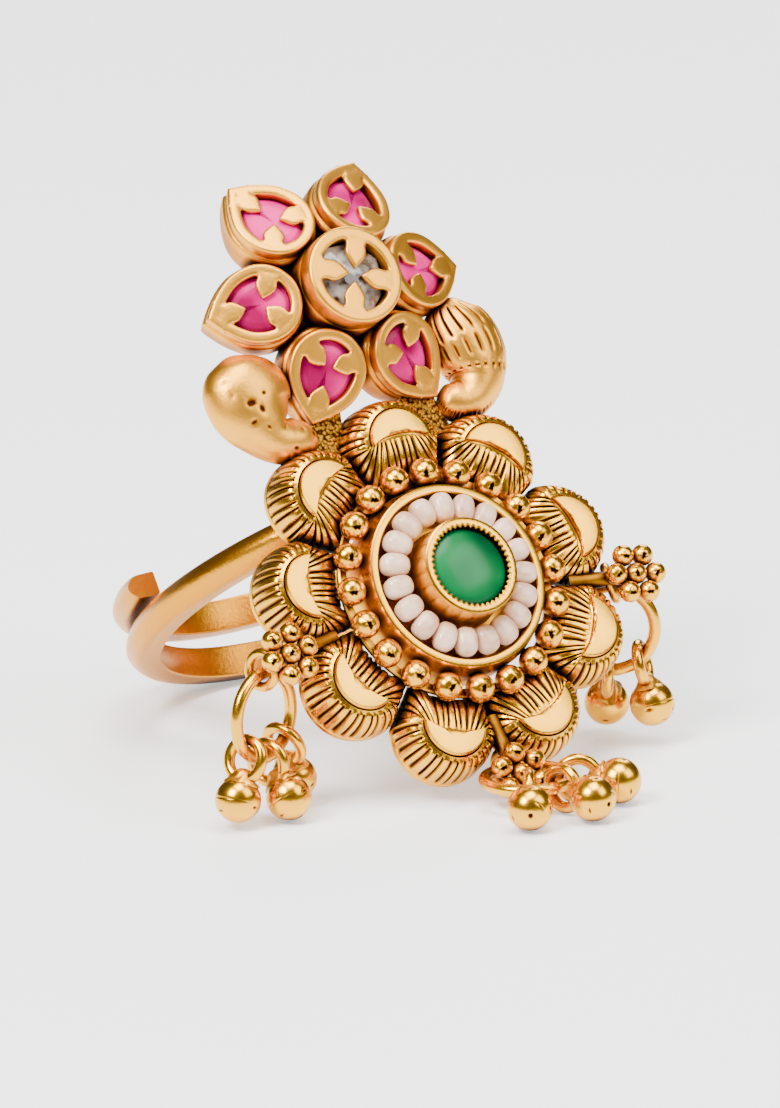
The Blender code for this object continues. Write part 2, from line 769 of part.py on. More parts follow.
def drop_mesh(metal):
    """A ball fused to its loop. The loop lies round Z and the ball is along X."""
    workshop = new_collection("drop_pieces")
    loop = wire_ring_mesh("loop", LOOP_RADIUS, LOOP_WIRE_RADIUS, 12)
    ball = ball_mesh("drop_ball", (DROP_BALL_RADIUS,) * 3, 12, 6)
    body = add_object("drop_body", loop, workshop, metal)
    place = Matrix.Translation((LOOP_REACH, 0.0, 0.0))
    tool = add_object("drop_tool", ball, workshop, metal, place)
    union = body.modifiers.new("solder", "BOOLEAN")
    union.operation = "UNION"
    union.solver = "EXACT"
    union.object = tool
    bpy.context.view_layer.update()
    evaluated = body.evaluated_get(bpy.context.evaluated_depsgraph_get())
    mesh = bpy.data.meshes.new_from_object(evaluated)
    mesh.name = "drop"
    bpy.data.objects.remove(body, do_unlink=True)
    bpy.data.objects.remove(tool, do_unlink=True)
    bpy.data.collections.remove(workshop)
    return mesh


def slack_along():
    """How far a loop's middle hangs past the wire that it is on."""
    return LOOP_RADIUS - LOOP_WIRE_RADIUS - JUMP_WIRE_RADIUS - CLEARANCE


def hanging_group(rest, number, places):
    """Frames of a jump ring that hangs from an eye, and of its three drops."""
    down = Vector((0.0, 0.0, -1.0))
    along = Matrix.Rotation(JUMP_YAWS[number], 4, "Z") @ Vector((1.0, 0.0, 0.0))
    out = down.cross(along)
    eye = rest @ eye_place(number).translation
    hang = EYE_RADIUS - EYE_WIRE_RADIUS - JUMP_WIRE_RADIUS - CLEARANCE
    centre = eye + down * (JUMP_RADIUS + hang)
    ring = basis(centre, along, out)
    drops = []
    for round_angle, lean, tip in places:
        radial = down * math.cos(round_angle) + along * math.sin(round_angle)
        tangent = along * math.cos(round_angle) - down * math.sin(round_angle)
        wire = centre + radial * JUMP_RADIUS
        axis = down * math.cos(round_angle + lean) + along * math.sin(round_angle + lean)
        axis = axis * math.cos(tip) + out * math.sin(tip)
        drops.append(basis(wire + axis * slack_along(), axis, tangent))
    return ring, drops


def lying_group(rest, number):
    """Frames of a jump ring that lies round a rosette, and of its drops on the floor."""
    front = Vector((0.0, -1.0, 0.0))
    side = Vector((1.0, 0.0, 0.0))
    eye = rest @ eye_place(number).translation
    wire_height = LOOP_RADIUS + LOOP_WIRE_RADIUS + CLEARANCE
    fall = (wire_height - eye.z) / (2 * JUMP_RADIUS)
    toward = front * math.sqrt(1 - fall * fall) + Vector((0.0, 0.0, fall))
    centre = eye + toward * JUMP_RADIUS
    ring = basis(centre, side, toward.cross(side))
    drops = []
    for angle in LYING_PLACES:
        radial = toward * math.cos(angle) + side * math.sin(angle)
        tangent = side * math.cos(angle) - toward * math.sin(angle)
        wire = centre + radial * JUMP_RADIUS
        level = front * math.cos(angle) + side * math.sin(angle)
        slope = (DROP_BALL_RADIUS + CLEARANCE / 2 - wire.z) / (LOOP_REACH + slack_along())
        axis = level * math.sqrt(1 - slope * slope) + Vector((0.0, 0.0, slope))
        drops.append(basis(wire + axis * slack_along(), axis, tangent))
    return ring, drops


def add_drops(collection, rest, metal):
    """The three jump rings and the nine drops, in the frame of the floor."""
    jump = wire_ring_mesh("jump_ring", JUMP_RADIUS, JUMP_WIRE_RADIUS, 16)
    drop = drop_mesh(metal)
    added = []
    groups = (
        ("right", hanging_group(rest, 0, RIGHT_DROPS)),
        ("bottom", lying_group(rest, 1)),
        ("left", hanging_group(rest, 2, LEFT_DROPS)),
    )
    for name, (ring, drops) in groups:
        added.append(add_object(f"jump_ring_{name}", jump, collection, metal, ring))
        for index, place in enumerate(drops):
            added.append(add_object(f"drop_{name}_{index + 1}", drop, collection, metal, place))
    return added


def floor_centre(pieces):
    """The middle of the floor under the box round all of the pieces."""
    spots = [piece.matrix_world @ vertex.co for piece in pieces for vertex in piece.data.vertices]
    across = [spot.x for spot in spots]
    away = [spot.y for spot in spots]
    return Vector(((min(across) + max(across)) / 2, (min(away) + max(away)) / 2, 0.0))


def main():
    clear_scene()
    parts = new_collection("finger_ring")
    fused = new_collection("soldered_pieces")
    gold = principled("antique_gold", (0.68, 0.42, 0.12), 0.32, 1.0)
    stone_materials = {
        "green": principled("green_glass", (0.01, 0.30, 0.14), 0.1, 0.0),
        "pearl": principled("pearl", (0.83, 0.76, 0.70), 0.3, 0.0),
        "pink": principled("pink_glass", (0.80, 0.10, 0.42), 0.1, 0.0),
        "clear": principled("clear_glass", (0.75, 0.73, 0.72), 0.05, 0.0),
    }
    pieces = fuse_metalwork(fused, gold)
    bpy.context.view_layer.update()
    rest = resting_matrix(pieces)
    frame = bpy.data.objects.new("head_frame", None)
    parts.objects.link(frame)
    frame.matrix_world = rest

    setting = add_object("setting", cup_mesh(), parts, gold)
    setting.parent = frame
    for piece in pieces:
        piece.parent = frame
        piece.hide_render = True
        piece.display_type = "WIRE"
    union = setting.modifiers.new("solder", "BOOLEAN")
    union.operation = "UNION"
    union.solver = "EXACT"
    union.operand_type = "COLLECTION"
    union.collection = fused
    add_stones(parts, frame, stone_materials)
    drops = add_drops(parts, rest, gold)
    bpy.context.view_layer.update()
    origin = bpy.data.objects.new("ring_frame", None)
    parts.objects.link(origin)
    for piece in drops:
        piece.parent = origin
    frame.parent = origin
    origin.location = -floor_centre(pieces + drops)


main()
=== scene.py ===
import math
import random

import bpy
import numpy as np
from mathutils import Matrix, Vector


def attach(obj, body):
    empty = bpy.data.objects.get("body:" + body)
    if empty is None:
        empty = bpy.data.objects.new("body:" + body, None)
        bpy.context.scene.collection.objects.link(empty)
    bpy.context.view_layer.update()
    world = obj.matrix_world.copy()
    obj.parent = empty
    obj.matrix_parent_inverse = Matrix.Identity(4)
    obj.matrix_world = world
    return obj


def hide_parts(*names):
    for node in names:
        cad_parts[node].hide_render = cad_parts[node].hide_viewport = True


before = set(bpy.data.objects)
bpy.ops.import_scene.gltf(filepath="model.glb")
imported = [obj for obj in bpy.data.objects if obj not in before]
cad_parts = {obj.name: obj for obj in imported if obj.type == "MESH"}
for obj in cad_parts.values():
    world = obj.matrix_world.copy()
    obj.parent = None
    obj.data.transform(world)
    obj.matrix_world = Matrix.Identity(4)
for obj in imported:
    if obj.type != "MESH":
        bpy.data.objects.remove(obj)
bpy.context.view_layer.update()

# Camera. The head of the ring has a frame of its own: X across the face, Y up to the gem
# flower, Z out of the face, its origin in the middle of the cup's rim. The camera was set
# by that frame's directions as the photograph shows them, and stands 0.7 m away.
MM = 0.001
UP_IN_HEAD = Vector((0.02561, 0.84281, 0.53761)).normalized()
HEAD_ORIGIN = Vector((1.2829, -6.6636, 10.9803)) * MM
across_floor = (Vector((1.0, 0.0, 0.0)) - UP_IN_HEAD * UP_IN_HEAD.x).normalized()
away_floor = UP_IN_HEAD.cross(across_floor)
HEAD = Matrix.Translation(HEAD_ORIGIN) @ Matrix((across_floor, away_floor, UP_IN_HEAD)).to_4x4()
SEEN_RIGHT = Vector((0.842, -0.330, 0.427))
SEEN_TOWARD = Vector((-0.504, -0.197, 0.841))
CAMERA_DISTANCE = 704 * MM
CAMERA_SIDE = -3.5 * MM
CAMERA_RISE = 1.1 * MM
LENS_MM = 444.8

toward = (HEAD.to_3x3() @ SEEN_TOWARD).normalized()
rightward = HEAD.to_3x3() @ SEEN_RIGHT
rightward = (rightward - toward * rightward.dot(toward)).normalized()
upward = toward.cross(rightward)
bpy.ops.object.camera_add()
camera = bpy.context.object
camera.name = "camera"
camera.data.lens = LENS_MM
camera.data.clip_start = 0.05
spot = HEAD_ORIGIN + toward * CAMERA_DISTANCE + rightward * CAMERA_SIDE + upward * CAMERA_RISE
turn = Matrix((rightward, upward, toward)).transposed().to_4x4()
camera.matrix_world = Matrix.Translation(spot) @ turn
bpy.context.scene.camera = camera

# Floor. A plain sheet of matt white paper, big enough that no edge of it is seen. It gives
# the even pale ground and the soft shadow under the ring.
FLOOR_WHITE = "#F7F7F7"
FLOOR_SIDE = 3.0
FLOOR_GLOW = 0.62


def linear(code):
    """The linear colour of an sRGB hex value."""
    shares = [int(code[place:place + 2], 16) / 255 for place in (1, 3, 5)]
    return [s / 12.92 if s <= 0.04045 else ((s + 0.055) / 1.055) ** 2.4 for s in shares] + [1.0]


def add_node(tree, kind, settings=None, **links):
    """Add a node with its settings. A link or a value is named by its socket."""
    node = tree.nodes.new(kind)
    for name, value in (settings or {}).items():
        setattr(node, name, value)
    for name, value in links.items():
        socket = node.inputs[int(name[1:])] if name[0] == "n" and name[1:].isdigit() else None
        socket = socket or node.inputs[name.replace("_", " ")]
        if isinstance(value, bpy.types.NodeSocket):
            tree.links.new(value, socket)
        else:
            socket.default_value = value
    return node


def new_material(name):
    """An empty Principled material, with its tree and its shader."""
    material = bpy.data.materials.new(name)
    material.use_nodes = True
    return material, material.node_tree, material.node_tree.nodes["Principled BSDF"]


paper, tree, shader = new_material("matt_white_paper")
shader.inputs["Base Color"].default_value = linear(FLOOR_WHITE)
shader.inputs["Roughness"].default_value = 0.9
shader.inputs["Emission Color"].default_value = linear(FLOOR_WHITE)
shader.inputs["Emission Strength"].default_value = FLOOR_GLOW
bpy.ops.object.select_all(action="DESELECT")
bpy.ops.mesh.primitive_plane_add(size=FLOOR_SIDE)
floor = bpy.context.object
floor.name = "floor"
floor.data.materials.append(paper)

# Lights. Soft boxes round the ring give the polished gold its small pale highlights, and
# the dim room between them its deep amber and brown ones.
ROOM_GREY = "#A8A39C"
ROOM_STRENGTH = 0.25
BOXES_AIM = Vector((0.0, 0.0, 0.012))
SOFT_BOXES = (
    # azimuth from the camera, elevation, distance, side, watts
    ("key_box", -42, 48, 0.55, 0.22, 5.5),
    ("fill_box", 66, 40, 0.60, 0.34, 2.3),
    ("top_box", 30, 80, 0.60, 0.34, 5.0),
    ("back_box", 170, 34, 0.65, 0.30, 2.6),
)

room = bpy.data.worlds.new("room")
bpy.context.scene.world = room
room.use_nodes = True
room_light = room.node_tree.nodes["Background"]
room_light.inputs["Color"].default_value = linear(ROOM_GREY)
room_light.inputs["Strength"].default_value = ROOM_STRENGTH
camera_azimuth = math.atan2(toward.y, toward.x)
for name, azimuth, elevation, distance, side, watts in SOFT_BOXES:
    around = camera_azimuth + math.radians(azimuth)
    rise = math.radians(elevation)
    level = math.cos(rise)
    aim = Vector((level * math.cos(around), level * math.sin(around), math.sin(rise)))
    bpy.ops.object.light_add(type="AREA")
    box = bpy.context.object
    box.name = name
    box.data.shape = "SQUARE"
    box.data.size = side
    box.data.energy = watts
    box.location = aim * distance + BOXES_AIM
    box.rotation_euler = aim.to_track_quat("Z", "Y").to_euler()

# Cup. A turned brass cup with a rounded polished rim, and a floor that the pearls stand on.
# The whole setting is cast and soldered brass, gilt, then darkened with a brown antique
# wash that stays in the hollows after polishing. Its hollows and the places where parts
# meet also carry painted shade, deeper the more closed in they are.
GOLD_HIGH = "#F0B028"
GOLD_MID = "#BC7A0C"
GOLD_WASH_AND_SHADE = "#2A1203"
CUP_PROFILE = (
    (0.0, -0.80), (4.30, -0.80), (4.46, -0.74), (4.50, -0.60), (4.50, -0.12), (4.53, -0.02),
    (4.60, 0.04), (4.86, 0.04), (4.96, 0.00), (5.00, -0.10), (5.02, -0.30), (5.16, -0.70),
    (5.20, -0.90), (5.20, -2.50), (5.10, -2.60), (0.0, -2.60),
)


def gilt(name, high, mid, wash_and_shade, polish, hollow, grain, reach=0.55):
    """Antique gilt brass: bright where it is rubbed and open, brown where the wash is left and
    in painted shade where parts close it in. polish and hollow are how rough each is, grain
    how strong the fine grain, reach how far off a part may be and still cast painted shade."""
    material, tree, shader = new_material(name)
    places = add_node(tree, "ShaderNodeTexCoord").outputs["Object"]
    blotch = add_node(
        tree, "ShaderNodeTexNoise", Vector=places, Scale=650.0, Detail=4.0, Roughness=0.6
    ).outputs["Fac"]
    # painted shade: ambient occlusion darkens each point by how closed in it is
    unshaded_share = add_node(
        tree, "ShaderNodeAmbientOcclusion", {"samples": 12}, Distance=reach * MM
    ).outputs["AO"]
    # the piece's own darkening: antique wash in some places, painted shade in others
    marked_wash_and_shade = add_node(tree, "ShaderNodeAttribute", {"attribute_name": "wash_and_shade"}).outputs["Fac"]
    less = add_node(tree, "ShaderNodeMath", {"operation": "SUBTRACT"}, n0=unshaded_share, n1=marked_wash_and_shade)
    uneven = add_node(
        tree, "ShaderNodeMath", {"operation": "MULTIPLY_ADD"}, n0=blotch, n1=0.34, n2=less.outputs[0]
    )
    ramp = add_node(tree, "ShaderNodeValToRGB", n0=uneven.outputs[0])
    stops = ramp.color_ramp.elements
    stops[0].position = 0.34
    stops[0].color = linear(wash_and_shade)
    stops[1].position = 1.0
    stops[1].color = linear(high)
    middle = stops.new(0.74)
    middle.color = linear(mid)
    tree.links.new(ramp.outputs["Color"], shader.inputs["Base Color"])
    rough = add_node(
        tree, "ShaderNodeMapRange", n0=uneven.outputs[0], n1=0.45, n2=1.05, n3=hollow, n4=polish
    )
    tree.links.new(rough.outputs[0], shader.inputs["Roughness"])
    fine = add_node(
        tree, "ShaderNodeTexNoise", Vector=places, Scale=5200.0, Detail=3.0, Roughness=0.6
    ).outputs["Fac"]
    bump = add_node(
        tree, "ShaderNodeBump", Strength=grain, Distance=0.03 * MM, Height=fine
    ).outputs["Normal"]
    tree.links.new(bump, shader.inputs["Normal"])
    shader.inputs["Metallic"].default_value = 1.0
    return material


def wrapped(name, columns, rows, shape, wash_and_shade=None, crease=32):
    """Wrap a flat grid into a closed skin. shape gives the points, in millimetres, for
    the shares round and along it, and the darkening function how dark each point is left:
    antique wash in some places, painted shade in others."""
    bpy.ops.object.select_all(action="DESELECT")
    bpy.ops.mesh.primitive_grid_add(x_subdivisions=columns, y_subdivisions=rows, size=1.0)
    piece = bpy.context.object
    piece.name = name
    piece.data.name = name
    flat = np.empty(len(piece.data.vertices) * 3)
    piece.data.vertices.foreach_get("co", flat)
    flat = flat.reshape(-1, 3)
    around = np.clip(flat[:, 0] + 0.5, 0.0, 1.0)
    along = np.clip(flat[:, 1] + 0.5, 0.0, 1.0)
    points = np.asarray(shape(around, along)) * MM
    piece.data.vertices.foreach_set("co", points.ravel())
    if wash_and_shade is not None:
        left = piece.data.attributes.new("wash_and_shade", "FLOAT", "POINT")
        left.data.foreach_set("value", np.asarray(wash_and_shade(around, along), dtype=np.float64))
    bpy.ops.object.mode_set(mode="EDIT")
    bpy.ops.mesh.select_all(action="SELECT")
    bpy.ops.mesh.remove_doubles(threshold=0.0001 * MM)
    bpy.ops.mesh.normals_make_consistent(inside=False)
    bpy.ops.object.mode_set(mode="OBJECT")
    bpy.ops.object.shade_smooth_by_angle(angle=math.radians(crease))
    return piece


def turned(name, profile, sides, crease=32):
    """A turned piece, from its radii and heights in millimetres."""
    profile = np.array(profile)

    def shape(around, along):
        row = np.rint(along * (len(profile) - 1)).astype(int)
        turn = 2 * np.pi * around
        radius = profile[row, 0]
        return np.stack([radius * np.cos(turn), radius * np.sin(turn), profile[row, 1]], 1)

    return wrapped(name, sides, len(profile) - 1, shape, None, crease)


def fitted(piece, place, material, slot, *nodes):
    """Set a piece in its place with its finish, and let it stand for its solids."""
    piece.data.transform(place)
    piece.data.materials.clear()
    piece.data.materials.append(material)
    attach(piece, "root")
    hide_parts(*nodes)
    return piece


def copied(piece, name):
    """A copy of a piece, with a mesh of its own."""
    bpy.ops.object.select_all(action="DESELECT")
    piece.select_set(True)
    bpy.context.view_layer.objects.active = piece
    bpy.ops.object.duplicate(linked=False)
    twin = bpy.context.object
    twin.name = name
    twin.data.name = name
    return twin


def joined(pieces, name):
    """Solder pieces into one."""
    bpy.ops.object.select_all(action="DESELECT")
    for piece in pieces:
        piece.select_set(True)
    bpy.context.view_layer.objects.active = pieces[0]
    bpy.ops.object.join()
    pieces[0].name = name
    pieces[0].data.name = name
    return pieces[0]


def shifted(x, y, z):
    """A shift in millimetres."""
    return Matrix.Translation(Vector((x, y, z)) * MM)


def turned_by(degrees):
    """A turn round the Z axis."""
    return Matrix.Rotation(math.radians(degrees), 4, "Z")


antique_gold = gilt(
    "antique_gilt_brass", GOLD_HIGH, GOLD_MID, GOLD_WASH_AND_SHADE, polish=0.24, hollow=0.5, grain=0.16
)
cup = turned("cup_bowl", CUP_PROFILE, 180)
fitted(cup, HEAD, antique_gold, "gold", "setting")

# Stone collet. A short tube on the cup's floor that holds the green stone. Its top edge is
# rubbed over the stone, which leaves it finely notched on the inside.
COLLET_PROFILE = np.array((
    (0.0, 0.44), (2.10, 0.44), (2.10, 1.25), (2.08, 1.50), (2.14, 1.60), (2.26, 1.64),
    (2.50, 1.64), (2.60, 1.59), (2.64, 1.48), (2.64, 0.60), (2.66, 0.10), (2.66, -0.40),
    (2.74, -0.62), (2.76, -0.80), (2.70, -1.20), (0.0, -1.20),
))
COLLET_NOTCHES = 44
NOTCH_DEPTH = 0.06


def collet_shape(around, along):
    row = np.rint(along * (len(COLLET_PROFILE) - 1)).astype(int)
    turn = 2 * np.pi * around
    notched = (row >= 2) & (row <= 4)
    radius = COLLET_PROFILE[row, 0] + notched * NOTCH_DEPTH * np.cos(COLLET_NOTCHES * turn)
    return np.stack([radius * np.cos(turn), radius * np.sin(turn), COLLET_PROFILE[row, 1]], 1)


def collet_wash(around, along):
    row = np.rint(along * (len(COLLET_PROFILE) - 1)).astype(int)
    return np.where(row <= 3, 0.9, np.where(row == 4, 0.3, 0.0))


collet = wrapped("stone_collet", 264, len(COLLET_PROFILE) - 1, collet_shape, collet_wash)
fitted(collet, HEAD, antique_gold, "gold", "setting")

# Balls round the cup. Twenty cast balls, soldered to the cup's wall and to the flat rail
# under them. Each has the small pit of its casting on top, none quite alike.
BALL_COUNT = 20
BALL_RADIUS = 0.775
BALL_RING = 5.92
BALL_HEIGHT = -0.73
BALL_START = 84.2
BALL_PIT = 0.15
PIT_LEAN = 24
PIT_SCATTER = 9
RAIL_PROFILE = (
    (5.66, -1.66), (5.66, -1.46), (5.72, -1.40), (6.06, -1.40), (6.14, -1.48), (6.14, -1.66),
    (6.06, -1.72), (5.74, -1.72), (5.66, -1.66),
)
chance = random.Random(7)


def pitted_ball(name, radius, pit, sides=32, steps=22):
    """A ball with the ragged pit of its casting on top, where the wash stays black, and painted shade
    that darkens its underside.
    """
    edge = math.asin(pit / radius)
    top = radius * math.cos(edge)
    rows = [(0.0, top - pit * 1.3), (pit * 0.45, top - pit * 1.0), (pit * 0.85, top - pit * 0.35)]
    for step in range(steps + 1):
        sweep = edge + (math.pi - edge) * step / steps
        rows.append((max(0.0, radius * math.sin(sweep)), radius * math.cos(sweep)))
    rows = np.array(rows)
    last = len(rows) - 1

    def shape(around, along):
        row = np.rint(along * last).astype(int)
        turn = 2 * np.pi * around
        ragged = 1 + 0.34 * np.sin(2 * turn + 0.6) + 0.16 * np.sin(5 * turn)
        spread = rows[row, 0] * np.where(row <= 4, ragged, 1.0)
        return np.stack([spread * np.cos(turn), spread * np.sin(turn), rows[row, 1]], 1)

    def wash_and_shade(around, along):
        row = np.rint(along * last).astype(int)
        # painted shade on the ball's underside, darker towards its foot
        underside_shade = smooth_step(0.66, 0.95, row / last)
        return np.where(row <= 2, 1.0, np.where(row == 3, 0.75, 0.0)) + 0.45 * underside_shade

    return wrapped(name, sides, last, shape, wash_and_shade, 50)


def smooth_step(low, high, value):
    """0 before low, 1 after high and a soft rise between them, or a fall if low is more."""
    share = np.clip((value - low) / (high - low), 0.0, 1.0)
    return share * share * (3 - 2 * share)


def leaning(limit):
    """A small tilt to one side or another, so that no two pieces stand quite alike."""
    side = Vector((chance.uniform(-1, 1), chance.uniform(-1, 1), 0.0)).normalized()
    return Matrix.Rotation(math.radians(chance.uniform(0.2, 1.0) * limit), 4, side)


def pit_turn():
    """A ball's turn. They were cast on one tree, so all the pits lean much the same way."""
    spin = turned_by(chance.uniform(0, 360))
    lean = Matrix.Rotation(math.radians(PIT_LEAN), 4, Vector((1, -1, 0)).normalized())
    return leaning(PIT_SCATTER) @ lean @ spin


def middle_of(place):
    """The place without its turn."""
    return Matrix.Translation(place.translation)


ball = pitted_ball("cup_ball", BALL_RADIUS, BALL_PIT)
balls = []
for index in range(BALL_COUNT):
    one = copied(ball, f"cup_ball_{index}")
    size = Matrix.Scale(chance.uniform(0.97, 1.0), 4)
    place = turned_by(BALL_START - 360 * index / BALL_COUNT) @ shifted(BALL_RING, 0, BALL_HEIGHT)
    one.data.transform(middle_of(place) @ pit_turn() @ size)
    balls.append(one)
bpy.data.objects.remove(ball)
fitted(joined(balls, "cup_balls"), HEAD, antique_gold, "gold", "setting")
rail = turned("ball_rail", RAIL_PROFILE, 120)
fitted(rail, HEAD, antique_gold, "gold", "setting")

# Petals. Nine hollow cast petals round the balls. On each a smooth polished crescent lies
# over a ribbed skirt: broad ribs down the outside to a plain rim, and narrow ones down the
# inside towards the balls. The grooves between the ribs keep the dark wash.
PETAL_COUNT = 9
PETAL_START = 90
PETAL_CENTRE = 7.6
PETAL_HEART = np.array([0.6, 0.0, -2.4])
PETAL_REACH = 2.85
PETAL_HOLLOW = 6.15
PETAL_SPREAD = 0.40
PETAL_SPACING = 0.16
PETAL_TOP = -0.66
PETAL_FOOT_OUT = -2.94
PETAL_FOOT_IN = -1.86
PETAL_RIM = 0.30
CRESCENT_RADIUS = 1.70
CRESCENT_BACK = 0.26
CRESCENT_SAG = 0.42
OUTER_RIBS = 17
INNER_RIBS = 15
RIB_DEPTH = 0.12
CRESCENT_CENTRE = 1.15
PETAL_COLUMNS = 272
CROWN_ROWS = 6
SKIRT_ROWS = 16
FOOT_ROWS = 3
PETAL_ROWS = CROWN_ROWS + SKIRT_ROWS + FOOT_ROWS
CROWN_GROW = np.array([-9.0, -0.12, -0.03, 0.02, 0.04, 0.12, 0.28])
CROWN_DROP_OUT = np.array([0.0, 0.0, 0.02, 0.12, 0.24, 0.17, 0.25])
CROWN_DROP_IN = np.array([0.0, 0.0, 0.02, 0.13, 0.28, 0.33, 0.36])


def petal_reach(turn):
    """How far the foot of a petal reaches from its middle, each way."""
    near = np.zeros_like(turn)
    far = np.full_like(turn, PETAL_REACH)
    half_pitch = math.pi / PETAL_COUNT

    def inside(distance):
        x = PETAL_CENTRE + distance * np.cos(turn)
        y = distance * np.sin(turn)
        swing = np.abs(np.arctan2(y, x))
        radius = np.hypot(x, y)
        inner = PETAL_HOLLOW - PETAL_SPREAD * (swing / half_pitch) ** 2
        return (radius > inner) & (radius * np.sin(swing - half_pitch) < -PETAL_SPACING / 2)

    whole = inside(far)
    for _ in range(30):
        middle = (near + far) / 2
        good = inside(middle)
        near = np.where(good, middle, near)
        far = np.where(good, far, middle)
    return np.where(whole, PETAL_REACH, near)


def petal_parts(around, along):
    """The skin of a petal before its ribs are pressed, with how deep the groove is at each
    point, how far down the skirt it lies and which row of the crown it is in."""
    row = np.rint(along * PETAL_ROWS).astype(int)
    outer = around <= 0.5
    turn = np.where(outer, around * 2 * np.pi - np.pi / 2, 0.0)
    share = 1 - 2 * (np.where(outer, 0.5, around) - 0.5) / 0.5
    top_x = np.where(outer, CRESCENT_RADIUS * np.cos(turn), CRESCENT_SAG * (1 - share ** 2))
    top_x = top_x + CRESCENT_BACK
    top_y = np.where(outer, CRESCENT_RADIUS * np.sin(turn), CRESCENT_RADIUS * share)
    spread = around * 2 * np.pi - np.pi / 2
    reach = petal_reach(spread)
    foot_x = np.cos(spread) * reach
    foot_y = np.sin(spread) * reach
    outness = (1 + np.cos(spread)) / 2
    foot_z = PETAL_FOOT_IN + (PETAL_FOOT_OUT - PETAL_FOOT_IN) * outness
    length = np.hypot(top_x - CRESCENT_CENTRE, top_y) + 1e-9
    away_x = (top_x - CRESCENT_CENTRE) / length
    away_y = top_y / length
    # crown: how far each row lies outside the crescent's edge, and how far below its top
    crown = np.clip(row, 0, CROWN_ROWS)
    out = CROWN_GROW[crown]
    drops = CROWN_DROP_IN + (CROWN_DROP_OUT - CROWN_DROP_IN) * outness[:, None]
    x = np.where(row == 0, CRESCENT_CENTRE, top_x + away_x * out)
    y = np.where(row == 0, 0.0, top_y + away_y * out)
    z = PETAL_TOP - drops[np.arange(len(row)), crown]
    edge_x = top_x + away_x * CROWN_GROW[-1]
    edge_y = top_y + away_y * CROWN_GROW[-1]
    edge_z = PETAL_TOP - drops[:, -1]
    skirt = np.clip((row - CROWN_ROWS) / SKIRT_ROWS, 0.0, 1.0)
    sweep = skirt * np.pi / 2
    on_skirt = row > CROWN_ROWS
    x = np.where(on_skirt, edge_x + (foot_x - edge_x) * np.sin(sweep), x)
    y = np.where(on_skirt, edge_y + (foot_y - edge_y) * np.sin(sweep), y)
    z = np.where(on_skirt, edge_z + (foot_z - edge_z) * (1 - np.cos(sweep)), z)
    # foot: a plain rim that stands a little proud, then the underside
    first = row == CROWN_ROWS + SKIRT_ROWS + 1
    second = row == CROWN_ROWS + SKIRT_ROWS + 2
    last = row == PETAL_ROWS
    proud = 0.03 * outness
    x = np.where(first | second, foot_x + np.cos(spread) * proud, x)
    y = np.where(first | second, foot_y + np.sin(spread) * proud, y)
    z = np.where(first, foot_z - 0.04, np.where(second, foot_z - PETAL_RIM, z))
    x = np.where(last, CRESCENT_CENTRE * 0.6, x)
    y = np.where(last, 0.0, y)
    z = np.where(last, (PETAL_FOOT_IN + PETAL_FOOT_OUT) / 2 - PETAL_RIM, z)
    count = np.where(outer, OUTER_RIBS * around / 0.5, INNER_RIBS * (around - 0.5) / 0.5)
    wobble = 0.10 * np.sin(2.7 * count + 1.3)
    phase = (count + wobble) % 1.0
    groove = smooth_step(0.45, 1.0, np.abs(2 * phase - 1))
    ends = smooth_step(0.0, 0.06, skirt) * (1 - smooth_step(0.93, 1.0, skirt))
    skin = np.stack([x, y, z], 1)
    return skin, groove * ends * on_skirt, skirt * on_skirt, crown * (row <= CROWN_ROWS)


def petal_shape(around, along):
    skin, groove, _, _ = petal_parts(around, along)
    step = 0.0008
    round_a = petal_parts(np.clip(around - step, 0, 1), along)[0]
    round_b = petal_parts(np.clip(around + step, 0, 1), along)[0]
    down_a = petal_parts(around, np.clip(along - 1 / PETAL_ROWS, 0, 1))[0]
    down_b = petal_parts(around, np.clip(along + 1 / PETAL_ROWS, 0, 1))[0]
    # the grooves are pressed straight into the skin
    normal = np.cross(round_b - round_a, down_b - down_a)
    normal /= np.linalg.norm(normal, axis=1)[:, None] + 1e-12
    outward = skin - PETAL_HEART
    normal *= np.sign((normal * outward).sum(1))[:, None]
    skin = skin - normal * (groove * RIB_DEPTH)[:, None]
    skin[:, 0] += PETAL_CENTRE
    return skin


def petal_wash_and_shade(around, along):
    _, groove, skirt, crown = petal_parts(around, along)
    # painted shade: the skirt is darkened towards its foot, most on the inner side that faces the balls
    inner = np.where(around > 0.5, 1.0, 0.0) * np.sin(np.clip((around - 0.5) * 2, 0, 1) * np.pi)
    toward_foot_shade = smooth_step(0.35, 1.0, skirt)
    return groove * 0.65 + (0.30 * inner + 0.16) * toward_foot_shade + 0.6 * (crown == 4) + 0.1 * (crown == 3)


petal = wrapped("petal", PETAL_COLUMNS, PETAL_ROWS, petal_shape, petal_wash_and_shade, 30)
petals = []
for index in range(PETAL_COUNT):
    one = copied(petal, f"petal_{index}")
    one.data.transform(turned_by(PETAL_START - 360 * index / PETAL_COUNT))
    petals.append(one)
bpy.data.objects.remove(petal)
fitted(joined(petals, "ribbed_petals"), HEAD, antique_gold, "gold", "setting")

